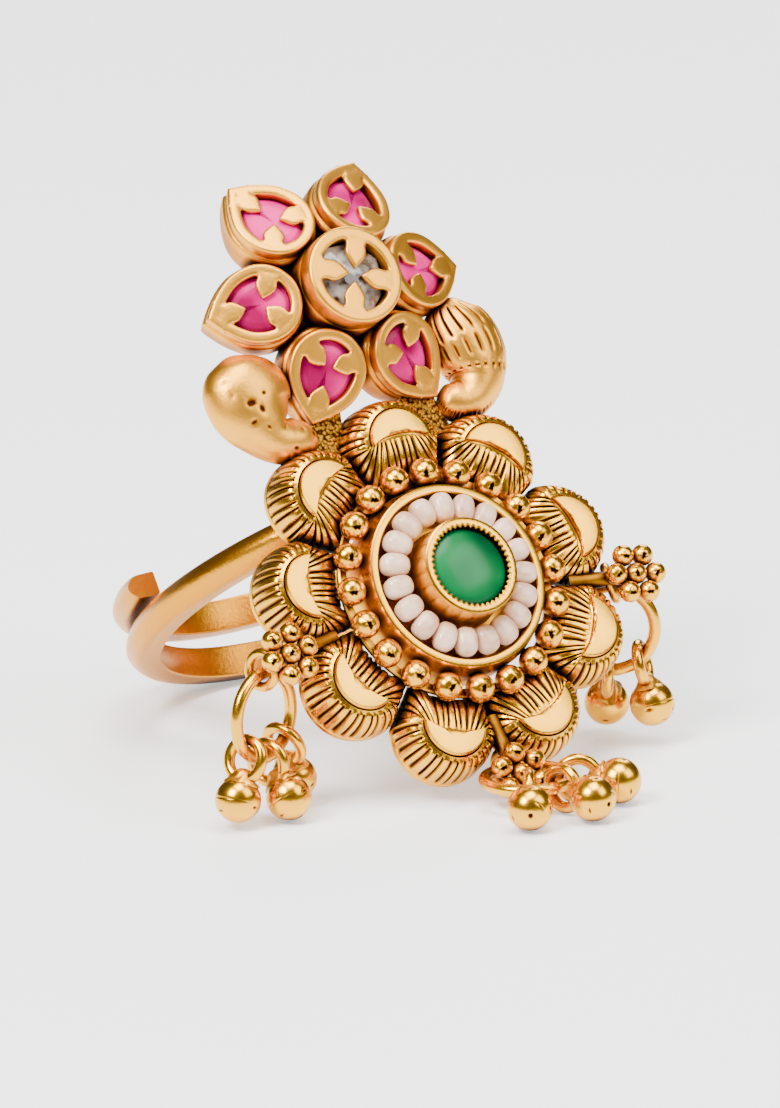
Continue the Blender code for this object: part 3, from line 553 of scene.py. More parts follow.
# Rosettes. Three flowers of seven soldered balls between the petals, each on a cast stem,
# with a wire eye behind it that a jump ring hangs in.
ROSETTES = (
    # angle round the head, the eye's distance, its depth, its turn
    (-10, 10.0, -2.15, -35),
    (-90, 10.0, -2.15, 0),
    (-170, 11.9, -1.95, 20),
)
ROSETTE_RING = 10.77
ROSETTE_HEIGHT = -0.69
ROSETTE_BALL = 0.57
ROSETTE_PITCH = 1.14
ROSETTE_PIT = 0.12
STEM_PROFILE = (
    (0.0, 0.0), (0.60, 0.0), (0.56, 0.40), (0.44, 1.20), (0.40, 2.20), (0.42, 3.00), (0.0, 3.45),
)
EYE_RADIUS = 0.88
EYE_WIRE = 0.28
EYE_WEAR = 0.02
STEM_SEAT = (7.4, 0, -2.0)
STEM_RISE = 16.7
STEM_PAINTED_SHADE = 0.55


def wire_ring(name, radius, wire):
    """A closed ring of round wire round the Z axis."""
    bpy.ops.object.select_all(action="DESELECT")
    bpy.ops.mesh.primitive_torus_add(
        major_segments=56, minor_segments=18, major_radius=radius * MM, minor_radius=wire * MM
    )
    ring = bpy.context.object
    ring.name = name
    ring.data.name = name
    bpy.ops.object.shade_smooth()
    return ring


seed = pitted_ball("rosette_ball", ROSETTE_BALL, ROSETTE_PIT, 28, 18)
stem = turned("rosette_stem", STEM_PROFILE, 20, 50)
# The stems are darkened all over as painted shade: they stand back among the petals, where shade falls.
stem_shade = stem.data.attributes.new("wash_and_shade", "FLOAT", "POINT")
stem_shade.data.foreach_set("value", np.full(len(stem.data.vertices), STEM_PAINTED_SHADE))
eye = wire_ring("rosette_eye", EYE_RADIUS, EYE_WIRE - EYE_WEAR)
for number, (angle, eye_ring, eye_height, eye_turn) in enumerate(ROSETTES, 1):
    middle = turned_by(angle) @ shifted(ROSETTE_RING, 0, ROSETTE_HEIGHT)
    grains = []
    for index in range(7):
        out = shifted(ROSETTE_PITCH if index else 0.0, 0, 0)
        one = copied(seed, f"rosette_{number}_ball_{index}")
        one.data.transform(middle_of(middle @ turned_by(60 * index) @ out) @ pit_turn())
        grains.append(one)
    one = copied(stem, f"rosette_{number}_stem")
    lean = Matrix.Rotation(math.radians(90 - STEM_RISE), 4, "Y")
    one.data.transform(turned_by(angle) @ shifted(*STEM_SEAT) @ lean)
    grains.append(one)
    one = copied(eye, f"rosette_{number}_eye")
    hole = Matrix.Rotation(math.radians(90 + eye_turn), 4, "Y")
    around = math.radians(angle)
    seat = shifted(eye_ring * math.cos(around), eye_ring * math.sin(around), eye_height)
    one.data.transform(seat @ hole)
    grains.append(one)
    fitted(joined(grains, f"rosette_{number}"), HEAD, antique_gold, "gold", "setting")
for spare in (seed, stem, eye):
    bpy.data.objects.remove(spare)

# Gem flower. A round collet in the middle of six pointed ones that lean outward, all open
# on top under flat leaf claws that are filed from the same casting and rubbed bright.
FLOWER = HEAD @ shifted(0, 16.66, 0.54)
BUD_PROFILE = (
    (0.0, -1.15), (1.96, -1.15), (1.98, -0.12), (2.00, 0.00), (2.06, 0.04), (2.20, 0.06),
    (2.46, 0.06), (2.58, 0.03), (2.65, -0.06), (2.67, -0.25), (2.65, -1.00), (2.60, -1.08),
    (2.70, -1.20), (2.74, -1.40), (2.74, -2.50), (3.00, -2.62), (3.10, -2.80), (3.10, -3.50),
    (2.95, -3.60), (0.0, -3.60),
)
POINTED_COUNT = 6
POINTED_REACH = 4.85
POINTED_DROP = -1.76
POINTED_LEAN = 20
POINTED_ROUND = 2.1
POINTED_TIP = 3.0
POINTED_ROWS = (
    # how far outside the rim's outline, and the height
    (-9.0, -1.15), (-0.60, -1.15), (-0.60, -0.14), (-0.58, -0.02), (-0.52, 0.03), (-0.36, 0.06),
    (-0.14, 0.06), (-0.04, 0.03), (0.02, -0.06), (0.03, -0.22), (0.01, -0.52), (-0.05, -0.60),
    (-0.04, -0.66), (0.10, -0.74), (0.17, -0.90), (0.18, -1.25), (0.17, -1.75), (0.12, -2.15),
    (0.02, -2.36), (-9.0, -2.40),
)
LEAF_ANGLES = (68, 158, 248, 338)
# of a leaf claw: how far it reaches in, its half width, how far its root runs out
BUD_LEAF = (1.68, 0.68, 0.30)
POINTED_LEAF = (1.30, 0.66, 0.28)
BUD_LEAF_SEAT = 2.02
POINTED_LEAVES = ((0, 2.16), (122, 1.54), (-122, 1.54))


def pointed_outline(around, grow):
    """The teardrop outline of a pointed collet, its tip on +X, grown along its normals."""
    def plain(turn):
        aside = np.abs((turn + np.pi) % (2 * np.pi) - np.pi)
        swell = POINTED_ROUND + (POINTED_TIP - POINTED_ROUND) * np.clip(
            1 - aside / math.radians(80), 0, None
        ) ** 1.35
        straight = POINTED_ROUND / np.cos(
            np.clip(math.acos(POINTED_ROUND / POINTED_TIP) - aside, 0, None)
        )
        reach = 0.45 * swell + 0.55 * straight
        return np.stack([reach * np.cos(turn), reach * np.sin(turn)], 1)

    turn = 2 * np.pi * around
    spot = plain(turn)
    along = plain(turn + 0.03) - plain(turn - 0.03)
    along /= np.linalg.norm(along, axis=1)[:, None]
    normal = np.stack([along[:, 1], -along[:, 0]], 1)
    return np.where(grow[:, None] < -5, 0.0, spot + normal * grow[:, None])


def pointed_shape(around, along):
    rows = np.array(POINTED_ROWS)
    row = np.rint(along * (len(rows) - 1)).astype(int)
    flat = pointed_outline(around, rows[row, 0])
    return np.column_stack([flat, rows[row, 1]])


def leaf(name, length, half_width, root):
    """A flat leaf claw with a soft crown. It grows along -X out of the rim's flat top:
    wide where it leaves the rim, a little waisted, then full, then pointed."""
    rings = (
        # share of the outline, and the height
        (0.0, 0.085), (0.45, 0.08), (0.78, 0.068), (0.93, 0.04), (1.0, -0.02), (1.0, -0.22),
        (0.0, -0.22),
    )
    outline = np.array((
        # share of the way to the tip, and of the half width
        (0.00, 0.00), (0.00, 0.75), (0.02, 1.40), (0.14, 1.15), (0.25, 0.86), (0.37, 0.80),
        (0.50, 0.86), (0.62, 0.80), (0.74, 0.62), (0.85, 0.38), (0.94, 0.17), (1.00, 0.00),
    ))

    def shape(around, along):
        row = np.rint(along * (len(rings) - 1)).astype(int)
        scale = np.array([scale for scale, _ in rings])[row]
        height = np.array([height for _, height in rings])[row]
        side = np.where(around < 0.5, 1.0, -1.0)
        share = np.where(around < 0.5, around * 2, 2 - around * 2)
        spot = flowing(outline, share)
        x = root - (root + length) * spot[:, 0]
        y = side * half_width * np.clip(spot[:, 1], 0, None)
        y = np.where((share <= 0.0) | (share >= 1.0), 0.0, y)
        middle = -length * 0.25
        dip = 0.02 * smooth_step(0.30, 0.08, spot[:, 0])
        return np.stack([middle + (x - middle) * scale, y * scale, height - dip * scale], 1)

    return wrapped(name, 56, len(rings) - 1, shape, None, 45)


def flowing(table, share):
    """A smooth run through the rows of a table (Catmull and Rom's spline)."""
    last = len(table) - 1
    place = np.clip(share, 0, 1) * last
    start = np.clip(np.floor(place).astype(int), 0, last - 1)
    t = (place - start)[:, None]
    before = table[np.clip(start - 1, 0, last)]
    a = table[start]
    b = table[start + 1]
    after = table[np.clip(start + 2, 0, last)]
    return 0.5 * (
        2 * a + (b - before) * t + (2 * before - 5 * a + 4 * b - after) * t ** 2
        + (3 * a - before - 3 * b + after) * t ** 3
    )


def cast_in_one(piece, grain=0.05, kept=0.4):
    """Melt joined pieces into one casting, with soft edges and no seams between them."""
    bpy.ops.object.select_all(action="DESELECT")
    piece.select_set(True)
    bpy.context.view_layer.objects.active = piece
    melt = piece.modifiers.new("melt", "REMESH")
    melt.mode = "VOXEL"
    melt.voxel_size = grain * MM
    bpy.ops.object.modifier_apply(modifier="melt")
    rub = piece.modifiers.new("rub", "SMOOTH")
    rub.factor = 0.5
    rub.iterations = 3
    bpy.ops.object.modifier_apply(modifier="rub")
    lighten = piece.modifiers.new("lighten", "DECIMATE")
    lighten.ratio = kept
    bpy.ops.object.modifier_apply(modifier="lighten")
    bpy.ops.object.shade_smooth()
    # the walls are darker the further down they go below the face
    low = np.array([point.co.z for point in piece.data.vertices]) / MM
    left = piece.data.attributes.new("wash_and_shade", "FLOAT", "POINT")
    left.data.foreach_set("value", 0.42 * smooth_step(-0.25, -1.5, low))
    return piece


rubbed_gold = gilt(
    "rubbed_gilt_brass", "#F2AA30", "#BC7010", "#3C1C04", polish=0.38, hollow=0.50, grain=0.5, reach=0.6
)
bud_leaf = leaf("bud_leaf", *BUD_LEAF)
leaves = []
for index, angle in enumerate(LEAF_ANGLES):
    one = copied(bud_leaf, f"bud_leaf_{index}")
    one.data.transform(turned_by(angle) @ shifted(BUD_LEAF_SEAT, 0, 0))
    leaves.append(one)
bpy.data.objects.remove(bud_leaf)
bud = cast_in_one(joined([turned("bud_collet", BUD_PROFILE, 120)] + leaves, "bud_collet"))
fitted(bud, FLOWER, rubbed_gold, "gold", "setting")

pointed = wrapped("pointed_collet", 120, len(POINTED_ROWS) - 1, pointed_shape)
claw = leaf("pointed_leaf", *POINTED_LEAF)
parts = [pointed]
for number, (angle, reach) in enumerate(POINTED_LEAVES):
    one = copied(claw, f"pointed_leaf_{number}")
    one.data.transform(turned_by(angle) @ shifted(reach, 0, 0))
    parts.append(one)
bpy.data.objects.remove(claw)
pointed = cast_in_one(joined(parts, "pointed_collet"))
pointed_places = []
for index in range(POINTED_COUNT):
    lean = Matrix.Rotation(math.radians(POINTED_LEAN), 4, "Y")
    place = FLOWER @ turned_by(60 * index) @ shifted(POINTED_REACH, 0, POINTED_DROP) @ lean
    pointed_places.append(place)
    one = copied(pointed, f"pointed_collet_{index + 1}")
    fitted(one, place, rubbed_gold, "gold", "setting")
bpy.data.objects.remove(pointed)

# Lobes. Two fat curled lobes beside the gem flower, cast hollow. The left one is worn
# smooth, and the right one still shows its engraved feather lines.
LEFT_LOBE = np.array((
    # across, up, half width, half thickness
    (6.55, 14.55, 0.00, 0.00),
    (6.60, 14.30, 1.00, 0.80),
    (6.65, 13.70, 1.90, 1.40),
    (6.75, 12.70, 2.40, 1.65),
    (6.85, 11.60, 2.30, 1.60),
    (6.60, 10.60, 1.85, 1.40),
    (6.20, 9.85, 1.28, 1.20),
    (5.45, 9.50, 1.22, 1.10),
    (4.70, 9.55, 1.15, 1.00),
    (4.20, 9.75, 0.80, 0.75),
    (3.95, 9.90, 0.00, 0.00),
))
RIGHT_LOBE = np.array((
    (6.10, 15.10, 0.00, 0.00),
    (6.20, 14.80, 0.85, 0.75),
    (6.30, 14.00, 1.65, 1.35),
    (6.60, 12.90, 2.00, 1.65),
    (6.75, 11.60, 1.92, 1.60),
    (6.60, 10.50, 1.45, 1.40),
    (6.00, 9.80, 1.20, 1.20),
    (5.30, 9.55, 1.12, 1.08),
    (4.65, 9.75, 1.05, 0.95),
    (4.25, 10.00, 0.75, 0.70),
    (4.00, 10.15, 0.00, 0.00),
))
LOBE_HEIGHT = -2.54
LOBE_LINES = 9
DENTS_KEPT = 0.35


def lobe_shape(side, sections, engraved):
    """A fat curled lobe along its sections, on the left (-1) or the right (1)."""
    def shape(around, along):
        # the ends are round, so rows crowd towards them
        share = 0.5 - 0.5 * np.cos(np.pi * along)
        here = flowing(sections, share)
        ahead = flowing(sections, np.clip(share + 0.01, 0, 1))
        behind = flowing(sections, np.clip(share - 0.01, 0, 1))
        run = ahead[:, :2] - behind[:, :2]
        run /= np.linalg.norm(run, axis=1)[:, None] + 1e-12
        turn = 2 * np.pi * around
        wide = np.clip(here[:, 2], 0, None)
        thick = np.clip(here[:, 3], 0, None)
        cut = lobe_cut(around, share) if engraved else lobe_dents(around, share)
        wide = np.where((along <= 0) | (along >= 1), 0.0, wide - cut)
        thick = np.where((along <= 0) | (along >= 1), 0.0, thick - cut)
        x = here[:, 0] + run[:, 1] * wide * np.cos(turn)
        y = here[:, 1] - run[:, 0] * wide * np.cos(turn)
        z = LOBE_HEIGHT + thick * np.sin(turn)
        return np.stack([side * x, y, z], 1)
    return shape


def lobe_cut(around, share):
    """How deep the engraving is: feather lines near the top, and a dotted line below."""
    feather = np.abs(np.sin(around * 2 * np.pi * LOBE_LINES)) ** 12
    feather *= smooth_step(0.12, 0.17, share) * (1 - smooth_step(0.27, 0.31, share))
    second = np.abs(np.sin(around * 2 * np.pi * LOBE_LINES + 0.7)) ** 12
    second *= smooth_step(0.30, 0.34, share) * (1 - smooth_step(0.38, 0.42, share))
    dots = (np.sin(around * 2 * np.pi * 22) > 0.2) * np.exp(-((share - 0.46) / 0.010) ** 2)
    rope = np.abs(np.sin(share * np.pi * 44)) ** 2 * smooth_step(0.50, 0.54, share)
    rope *= np.exp(-((around - 0.42) / 0.04) ** 2)
    return 0.13 * feather + 0.10 * second + 0.10 * dots + 0.08 * rope


LOBE_DENTS = (
    # place round and along the lobe, its reach each way, its depth
    (0.30, 0.40, 0.018, 0.014, 0.22), (0.27, 0.44, 0.012, 0.022, 0.20),
    (0.33, 0.47, 0.016, 0.010, 0.18), (0.24, 0.37, 0.010, 0.010, 0.14),
    (0.36, 0.36, 0.010, 0.012, 0.12), (0.29, 0.53, 0.014, 0.018, 0.14),
    (0.20, 0.62, 0.020, 0.016, 0.10), (0.34, 0.70, 0.018, 0.014, 0.12),
    (0.22, 0.78, 0.03, 0.02, 0.10), (0.38, 0.28, 0.02, 0.008, 0.10),
    (0.18, 0.30, 0.012, 0.010, 0.10), (0.30, 0.86, 0.03, 0.02, 0.10),
)


def lobe_dents(around, share):
    """Casting pits of the smooth lobe, most of them in a scar across its middle."""
    deep = np.zeros_like(share)
    for side, up, wide, long, depth in LOBE_DENTS:
        deep += DENTS_KEPT * depth * np.exp(-((around - side) / wide) ** 2 - ((share - up) / long) ** 2)
    return deep + 0.012 * np.sin(around * 29) * np.sin(share * 23)


def lobe_wash(engraved):
    def wash_and_shade(around, along):
        share = 0.5 - 0.5 * np.cos(np.pi * along)
        cut = lobe_cut(around, share) if engraved else lobe_dents(around, share)
        return np.clip((cut - 0.012) * (8.0 if engraved else 30.0), 0.0, 1.0)
    return wash_and_shade


left_lobe = wrapped("left_lobe", 144, 150, lobe_shape(-1, LEFT_LOBE, False), lobe_wash(False))
fitted(left_lobe, HEAD, rubbed_gold, "gold", "setting")
right_lobe = wrapped("right_lobe", 168, 150, lobe_shape(1, RIGHT_LOBE, True), lobe_wash(True))
fitted(right_lobe, HEAD, rubbed_gold, "gold", "setting")

# Bars. Two cast bars behind the head carry the gem flower and the lobes. Where they show,
# their skin is left rough and dark, as it came from the mould.
BAR_LOW = (3.6, 6.6)
BAR_HIGH = (1.8, 15.0)
BAR_TOP = -2.45
BAR_FOOT = -3.85
BAR_HALF = 0.95
BAR_EDGE = 0.18


def cast_skin():
    """Rough cast brass: a grainy skin, dark all over with bright grains."""
    material, tree, shader = new_material("rough_cast_brass")
    places = add_node(tree, "ShaderNodeTexCoord").outputs["Object"]
    grains = add_node(tree, "ShaderNodeTexVoronoi", Vector=places, Scale=5600.0).outputs["Distance"]
    ramp = add_node(tree, "ShaderNodeValToRGB", n0=grains)
    ramp.color_ramp.elements[0].position = 0.15
    ramp.color_ramp.elements[0].color = linear("#C48E28")
    ramp.color_ramp.elements[1].position = 0.75
    ramp.color_ramp.elements[1].color = linear("#2E1405")
    tree.links.new(ramp.outputs["Color"], shader.inputs["Base Color"])
    bump = add_node(
        tree, "ShaderNodeBump", {"invert": True}, Strength=0.9, Distance=0.06 * MM, Height=grains
    )
    tree.links.new(bump.outputs["Normal"], shader.inputs["Normal"])
    shader.inputs["Metallic"].default_value = 1.0
    shader.inputs["Roughness"].default_value = 0.42
    return material


rough_cast = cast_skin()
bars = []
for side in (-1, 1):
    bpy.ops.object.select_all(action="DESELECT")
    bpy.ops.mesh.primitive_cube_add(size=1.0)
    bar = bpy.context.object
    length = math.dist(BAR_LOW, BAR_HIGH)
    bpy.ops.object.mode_set(mode="EDIT")
    bpy.ops.mesh.select_all(action="SELECT")
    bpy.ops.transform.resize(value=(2 * BAR_HALF * MM, length * MM, (BAR_TOP - BAR_FOOT) * MM))
    bpy.ops.mesh.bevel(offset=BAR_EDGE * MM, segments=3, affect="EDGES")
    bpy.ops.object.mode_set(mode="OBJECT")
    bpy.ops.object.shade_smooth_by_angle(angle=math.radians(35))
    across, up = (BAR_LOW[0] + BAR_HIGH[0]) / 2, (BAR_LOW[1] + BAR_HIGH[1]) / 2
    middle = shifted(side * across, up, (BAR_TOP + BAR_FOOT) / 2)
    lean = math.atan2(BAR_LOW[0] - BAR_HIGH[0], BAR_HIGH[1] - BAR_LOW[1])
    swing = Matrix.Rotation(side * lean, 4, "Z")
    bar.data.transform(middle @ swing)
    bars.append(bar)
fitted(joined(bars, "back_bars"), HEAD, rough_cast, "gold", "setting")

# Band. One strip of half-round brass that passes behind the head and overlaps at its open
# ends, so that it can be squeezed or spread to fit. It is brushed by wear, not ribbed.
BAND_HALF_WIDTH = 8.75
BAND_HALF_HEIGHT = 10.35
BAND_CENTRE = -13.30
BAND_OFFSET = 5.6
BAND_STRIP = 0.85
BAND_LEFT_END = 347
BAND_RIGHT_END = -174
BAND_LEFT_SHIFT = -2.7
BAND_RIGHT_SHIFT = 1.0
BAND_TAPER = 26
BAND_ROWS = 260
BAND_CUT = 5.2
BAND_SECTION = np.array((
    # out from the finger, and the share of the half width
    (0.10, -1.00), (0.02, -0.92), (0.00, -0.80), (0.00, 0.80), (0.02, 0.92), (0.10, 1.00),
    (0.40, 1.00), (0.90, 1.00), (1.12, 0.97), (1.28, 0.86), (1.42, 0.68), (1.55, 0.46),
    (1.64, 0.22), (1.67, 0.00), (1.64, -0.22), (1.55, -0.46), (1.42, -0.68), (1.28, -0.86),
    (1.12, -0.97), (0.90, -1.00), (0.40, -1.00), (0.10, -1.00),
))


def band_shape(around, along):
    side = np.rint(around * (len(BAND_SECTION) - 1)).astype(int)
    share = np.clip((along * BAND_ROWS - 1) / (BAND_ROWS - 2), 0, 1)
    angle = BAND_RIGHT_END + (BAND_LEFT_END - BAND_RIGHT_END) * share
    to_end = np.clip(np.minimum(angle - BAND_RIGHT_END, BAND_LEFT_END - angle), 0, None)
    narrow = np.minimum(1.0, 0.74 + 0.26 * np.sqrt(to_end / BAND_TAPER))
    closed = (along > 0) & (along < 1)
    wide = BAND_STRIP * narrow * BAND_SECTION[side, 1] * closed
    out = np.where(closed, BAND_SECTION[side, 0], 0.8)
    # the left end is cut at a slant, so the crown runs further than the inner face
    slant = np.clip((angle - BAND_LEFT_END) / 20 + 1, 0, 1)
    angle = angle + slant * BAND_CUT * (out - 0.8)
    left = BAND_LEFT_SHIFT * (angle - 90) / (BAND_LEFT_END - 90)
    right = BAND_RIGHT_SHIFT * (90 - angle) / (90 - BAND_RIGHT_END)
    shift = np.where(angle >= 90, left, right)
    turn = np.radians(angle)
    x = (BAND_HALF_WIDTH + out) * np.cos(turn)
    z = (BAND_HALF_HEIGHT + out) * np.sin(turn) + BAND_CENTRE
    return np.stack([x, BAND_OFFSET + shift + wide, z], 1)


brushed_gold = gilt(
    "brushed_gilt_brass", "#D28C14", "#985C08", "#341804", polish=0.31, hollow=0.46, grain=0.8, reach=0.9
)
band = wrapped("open_band", len(BAND_SECTION) - 1, BAND_ROWS, band_shape)
fitted(band, HEAD, brushed_gold, "gold", "setting")

# Green stone. A round glass stone of emerald colour with a smooth low dome, held by the
# collet's rubbed edge. Its colour is uneven inside, deeper in one place than in another.
GREEN_DEEP = "#00381C"
GREEN_LIGHT = "#027E40"
GREEN_PROFILE = (
    (0.0, 1.66), (0.45, 1.652), (0.9, 1.62), (1.30, 1.56), (1.66, 1.47), (1.92, 1.38),
    (2.07, 1.28), (2.08, 0.90), (1.6, 0.56), (0.0, 0.56),
)


def cut_glass(name, deep, light, clear, scale, shine, blur):
    """Cut glass: a colour that is uneven inside under a skin of some shine and blur; on the
    clear stone that cloud is painted dark reflection and painted sparkle. clear is how much
    light goes through, scale how fine the unevenness is."""
    material, tree, shader = new_material(name)
    places = add_node(tree, "ShaderNodeTexCoord").outputs["Object"]
    clouds = add_node(
        tree, "ShaderNodeTexNoise", Vector=places, Scale=scale, Detail=1.5, Roughness=0.5
    ).outputs["Fac"]
    ramp = add_node(tree, "ShaderNodeValToRGB", n0=clouds)
    ramp.color_ramp.elements[0].position = 0.35
    ramp.color_ramp.elements[0].color = linear(deep)
    ramp.color_ramp.elements[1].position = 0.65
    ramp.color_ramp.elements[1].color = linear(light)
    tree.links.new(ramp.outputs["Color"], shader.inputs["Base Color"])
    shader.inputs["Roughness"].default_value = blur
    shader.inputs["IOR"].default_value = 1.6
    shader.inputs["Specular IOR Level"].default_value = shine
    shader.inputs["Transmission Weight"].default_value = clear
    return material


green_glass = cut_glass(
    "emerald_cut_glass", GREEN_DEEP, GREEN_LIGHT, clear=0.0, scale=260.0, shine=0.16, blur=0.24
)
green = turned("green_cabochon", GREEN_PROFILE, 64, 40)
fitted(green, HEAD, green_glass, "green_glass", "green_stone")

# Pearls. Nineteen small button pearls that stand side by side in the cup round the collet.
# They are pinkish cream, satin rather than bright, each a little different.
PEARL_COUNT = 19
PEARL_RING = 3.66
PEARL_HALF = (0.80, 0.605, 0.62)
PEARL_HEIGHT = 0.10
PEARL_FULLNESS = 2.7
PEARL_LEAN = 6


def pearl_skin():
    """Nacre: a satin skin with a faint rosy cloud."""
    material, tree, shader = new_material("cream_button_pearl")
    places = add_node(tree, "ShaderNodeTexCoord").outputs["Object"]
    clouds = add_node(
        tree, "ShaderNodeTexNoise", Vector=places, Scale=900.0, Detail=3.0, Roughness=0.55
    ).outputs["Fac"]
    ramp = add_node(tree, "ShaderNodeValToRGB", n0=clouds)
    ramp.color_ramp.elements[0].position = 0.3
    ramp.color_ramp.elements[0].color = linear("#CC9E7E")
    ramp.color_ramp.elements[1].position = 0.7
    ramp.color_ramp.elements[1].color = linear("#F4D2B6")
    tree.links.new(ramp.outputs["Color"], shader.inputs["Base Color"])
    shader.inputs["Roughness"].default_value = 0.3
    shader.inputs["Coat Weight"].default_value = 0.6
    shader.inputs["Coat Roughness"].default_value = 0.14
    return material


nacre = pearl_skin()
for index in range(PEARL_COUNT):
    bpy.ops.object.select_all(action="DESELECT")
    bpy.ops.mesh.primitive_uv_sphere_add(segments=32, ring_count=20, radius=1.0)
    pearl = bpy.context.object
    pearl.name = f"button_pearl_{index + 1:02d}"
    bpy.ops.object.mode_set(mode="EDIT")
    bpy.ops.mesh.select_all(action="SELECT")
    sizes = [half * chance.uniform(0.95, 1.0) * MM for half in PEARL_HALF]
    bpy.ops.transform.resize(value=sizes)
    bpy.ops.object.mode_set(mode="OBJECT")
    # a button pearl is fuller than an egg, so its points go out towards a rounded box
    for vertex in pearl.data.vertices:
        unit = Vector([vertex.co[axis] / sizes[axis] for axis in range(3)])
        fuller = sum(abs(share) ** PEARL_FULLNESS for share in unit) ** (1 / PEARL_FULLNESS)
        vertex.co = vertex.co / fuller
    bpy.ops.object.shade_smooth()
    place = turned_by(BALL_START - 360 * index / PEARL_COUNT)
    place = place @ shifted(PEARL_RING, 0, PEARL_HEIGHT) @ leaning(PEARL_LEAN)
    fitted(pearl, HEAD @ place, nacre, "pearl", f"pearl_{index + 1:02d}")

# Stones of the gem flower. A clear stone with a crown of facets in the middle, and six
# pink glass stones of the collets' pointed shape, each with a flat table.
PINK_DEEP = "#8C0044"
PINK_LIGHT = "#F00C88"
STONE_ROWS = (
    # how far inside the collet's outline, and the height
    (-9.0, -0.28), (-1.15, -0.28), (-0.85, -0.36), (-0.57, -0.56), (-0.57, -0.86), (-9.0, -0.90),
)
CLEAR_TURN = 22
CLEAR_PROFILE = (
    (0.0, -0.20), (0.62, -0.26), (1.30, -0.46), (1.98, -0.62), (1.98, -0.82), (0.0, -0.95),
)


def pink_shape(around, along):
    rows = np.array(STONE_ROWS)
    row = np.rint(along * (len(rows) - 1)).astype(int)
    flat = pointed_outline(around, rows[row, 0])
    return np.column_stack([flat, rows[row, 1]])


# The clear stone's cloud of dark brown and near white is painted dark reflection and painted sparkle.
clear_glass = cut_glass(
    "clear_cut_glass", "#3A2010", "#F4E6D8", clear=0.6, scale=1700.0, shine=0.6, blur=0.04
)
clear = turned("clear_brilliant", CLEAR_PROFILE, 8, 3)
fitted(clear, FLOWER @ turned_by(CLEAR_TURN), clear_glass, "clear_glass", "clear_stone")
pink_glass = cut_glass(
    "pink_cut_glass", PINK_DEEP, PINK_LIGHT, clear=0.0, scale=420.0, shine=0.08, blur=0.16
)
for index, place in enumerate(pointed_places, 1):
    pink = wrapped(f"pink_drop_{index}", 48, len(STONE_ROWS) - 1, pink_shape, None, 8)
    fitted(pink, place, pink_glass, "pink_glass", f"pink_stone_{index}")

# Drops. Nine hollow balls, each pressed in two halves with a seam round it and soldered to
# a wire loop with a rough collar. Three hang on each jump ring. The side ones hang free,
# and the lower ones lie on the floor in front of the head.
JUMP_RADIUS = 2.25
JUMP_WIRE = 0.33
LOOP_RADIUS = 1.03
LOOP_WIRE = 0.30
LOOP_REACH = 2.1
DROP_RADIUS = 1.22
DROP_WEAR = 0.025
DROP_UNEVEN = 0.012
CLEARANCE = 0.1
SLACK = LOOP_RADIUS - LOOP_WIRE - JUMP_WIRE - CLEARANCE
DOWN = Vector((0.0, 0.0, -1.0))
RIGHT_DROPS = ((-55, 25, 0), (-5, 0, -28), (42, -29, 12))
LEFT_DROPS = ((-42, 22, 0), (0, 0, 38), (42, -22, 0))
LYING_DROPS = (-32, 12, 54)


def basis(origin, x_axis, z_hint):
    """A frame with X along one direction and Z as near as can be to another."""
    x = x_axis.normalized()
    z = (z_hint - x * z_hint.dot(x)).normalized()
    return Matrix.Translation(origin * MM) @ Matrix((x, z.cross(x), z)).transposed().to_4x4()


def eye_middle(number):
    angle, eye_ring, eye_height, _ = ROSETTES[number]
    around = math.radians(angle)
    spot = Vector((eye_ring * math.cos(around), eye_ring * math.sin(around), eye_height))
    return (HEAD @ (spot * MM)) / MM


def hanging(number, drops):
    """Frames of a jump ring that hangs from its eye, and of its drops."""
    yaw = math.radians(ROSETTES[number][3])
    along = Vector((math.cos(yaw), math.sin(yaw), 0.0))
    out = DOWN.cross(along)
    hang = EYE_RADIUS - EYE_WIRE - JUMP_WIRE - CLEARANCE
    centre = eye_middle(number) + DOWN * (JUMP_RADIUS + hang)
    places = []
    for swing, lean, tip in drops:
        swing, axis_swing, tip = math.radians(swing), math.radians(swing + lean), math.radians(tip)
        wire = centre + (DOWN * math.cos(swing) + along * math.sin(swing)) * JUMP_RADIUS
        tangent = along * math.cos(swing) - DOWN * math.sin(swing)
        axis = DOWN * math.cos(axis_swing) + along * math.sin(axis_swing)
        axis = axis * math.cos(tip) + out * math.sin(tip)
        places.append(basis(wire + axis * SLACK, axis, tangent))
    return basis(centre, along, out), places


def lying(number, drops):
    """Frames of the jump ring that lies round the lower rosette, and of its drops."""
    front = Vector((0.0, -1.0, 0.0))
    side = Vector((1.0, 0.0, 0.0))
    middle = eye_middle(number)
    fall = (LOOP_RADIUS + LOOP_WIRE + CLEARANCE - middle.z) / (2 * JUMP_RADIUS)
    reach = front * math.sqrt(1 - fall * fall) + Vector((0.0, 0.0, fall))
    centre = middle + reach * JUMP_RADIUS
    places = []
    for swing in drops:
        swing = math.radians(swing)
        wire = centre + (reach * math.cos(swing) + side * math.sin(swing)) * JUMP_RADIUS
        tangent = side * math.cos(swing) - reach * math.sin(swing)
        level = front * math.cos(swing) + side * math.sin(swing)
        slope = (DROP_RADIUS + CLEARANCE / 2 - wire.z) / (LOOP_REACH + SLACK)
        axis = level * math.sqrt(1 - slope * slope) + Vector((0.0, 0.0, slope))
        places.append(basis(wire + axis * SLACK, axis, tangent))
    return basis(centre, side, reach.cross(side)), places


DROP_MARKS = (
    # place round and along, its reach each way, its depth
    (0.25, 0.62, 0.030, 0.018, 0.07), (0.29, 0.66, 0.014, 0.030, 0.06),
    (0.75, 0.56, 0.022, 0.022, 0.06), (0.05, 0.70, 0.028, 0.016, 0.06),
    (0.52, 0.64, 0.016, 0.030, 0.06), (0.60, 0.80, 0.05, 0.014, 0.05),
)


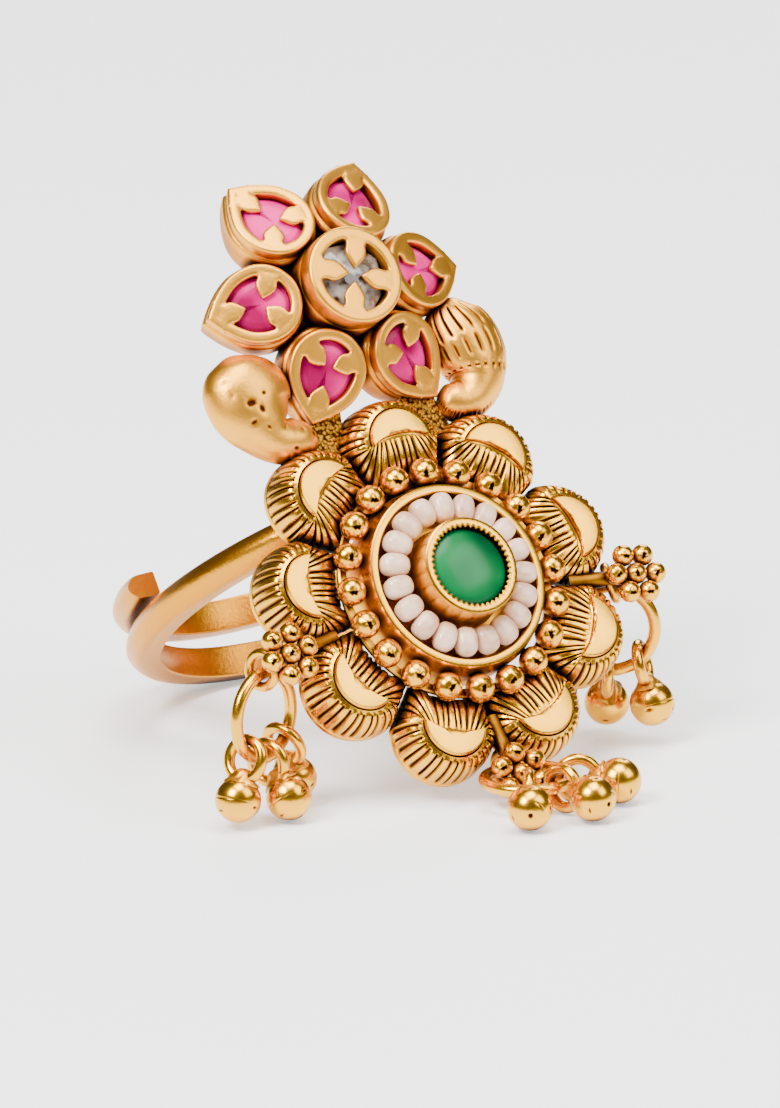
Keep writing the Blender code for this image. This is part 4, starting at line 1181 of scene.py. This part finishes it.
def drop_cut(around, along):
    """How deep the seam round a ball is, and the pits and the dimple of its casting."""
    bend = 0.006 * np.sin(6 * np.pi * around)
    open_here = 0.35 + 0.65 * smooth_step(-0.2, 0.6, np.sin(4 * np.pi * around + 1))
    cut = 0.022 * open_here * np.exp(-((along - 0.5 - bend) / 0.008) ** 2)
    cut += 0.10 * np.exp(-((along - 1.0) / 0.03) ** 2)
    for side, up, wide, long, depth in DROP_MARKS:
        cut += depth * np.exp(-((around - side) / wide) ** 2 - ((along - up) / long) ** 2)
    return cut


def drop_shape(around, along):
    sweep = np.pi * along
    turn = 2 * np.pi * around
    radius = DROP_RADIUS - DROP_WEAR - drop_cut(around, along)
    radius = radius - DROP_UNEVEN * (1 + np.sin(2 * turn) * np.sin(3 * sweep))
    level = np.where((along <= 0) | (along >= 1), 0.0, radius * np.sin(sweep))
    return np.stack([level * np.cos(turn), level * np.sin(turn), -radius * np.cos(sweep)], 1)


def drop_wash(around, along):
    return np.clip(drop_cut(around, along) * 16, 0.0, 0.8) + 0.3 * smooth_step(0.35, 0.15, along)


COLLAR_PROFILE = (
    (0.0, -1.66), (0.20, -1.64), (0.38, -1.55), (0.48, -1.42), (0.54, -1.28), (0.62, -1.16),
    (0.74, -1.04), (0.85, -0.93), (0.92, -0.82), (0.88, -0.76), (0.0, -0.60),
)


def collar_shape(around, along):
    """A lump of solder round the foot of the loop: longer along the loop's wire."""
    row = np.rint(along * (len(COLLAR_PROFILE) - 1)).astype(int)
    table = np.array(COLLAR_PROFILE)
    turn = 2 * np.pi * around
    lump = 1 + 0.07 * np.sin(3 * turn + row * 0.9) + 0.05 * np.sin(7 * turn - row * 1.3)
    radius = table[row, 0] * lump
    return np.stack([radius * np.cos(turn) * 0.86, radius * np.sin(turn) * 1.05, table[row, 1]], 1)


soldered_gold = gilt(
    "soldered_gilt_brass", "#DC9C24", "#9C620C", "#2A1203", polish=0.38, hollow=0.6, grain=1.0, reach=0.5
)
jump = wire_ring("jump_ring", JUMP_RADIUS, JUMP_WIRE)
loop = wire_ring("drop_loop", LOOP_RADIUS, LOOP_WIRE)
along_x = Matrix.Rotation(math.radians(90), 4, "Y")
shell = wrapped("drop_shell", 72, 96, drop_shape, drop_wash, 60)
shell.data.transform(shifted(LOOP_REACH, 0, 0) @ along_x)
collar = wrapped("drop_collar", 48, len(COLLAR_PROFILE) - 1, collar_shape, None, 60)
collar.data.transform(shifted(LOOP_REACH, 0, 0) @ along_x)
groups = (
    ("right", hanging(0, RIGHT_DROPS)),
    ("bottom", lying(1, LYING_DROPS)),
    ("left", hanging(2, LEFT_DROPS)),
)
for name, (ring_place, drop_places) in groups:
    ring = copied(jump, f"{name}_jump_wire")
    fitted(ring, ring_place, antique_gold, "gold", f"jump_ring_{name}")
    for number, place in enumerate(drop_places, 1):
        body = joined(
            [copied(shell, f"{name}_ball_{number}"), copied(loop, f"{name}_loop_{number}")],
            f"{name}_ball_drop_{number}",
        )
        fitted(body, place, antique_gold, "gold", f"drop_{name}_{number}")
        neck = copied(collar, f"{name}_drop_collar_{number}")
        fitted(neck, place, soldered_gold, "gold", f"drop_{name}_{number}")
for spare in (jump, loop, shell, collar):
    bpy.data.objects.remove(spare)
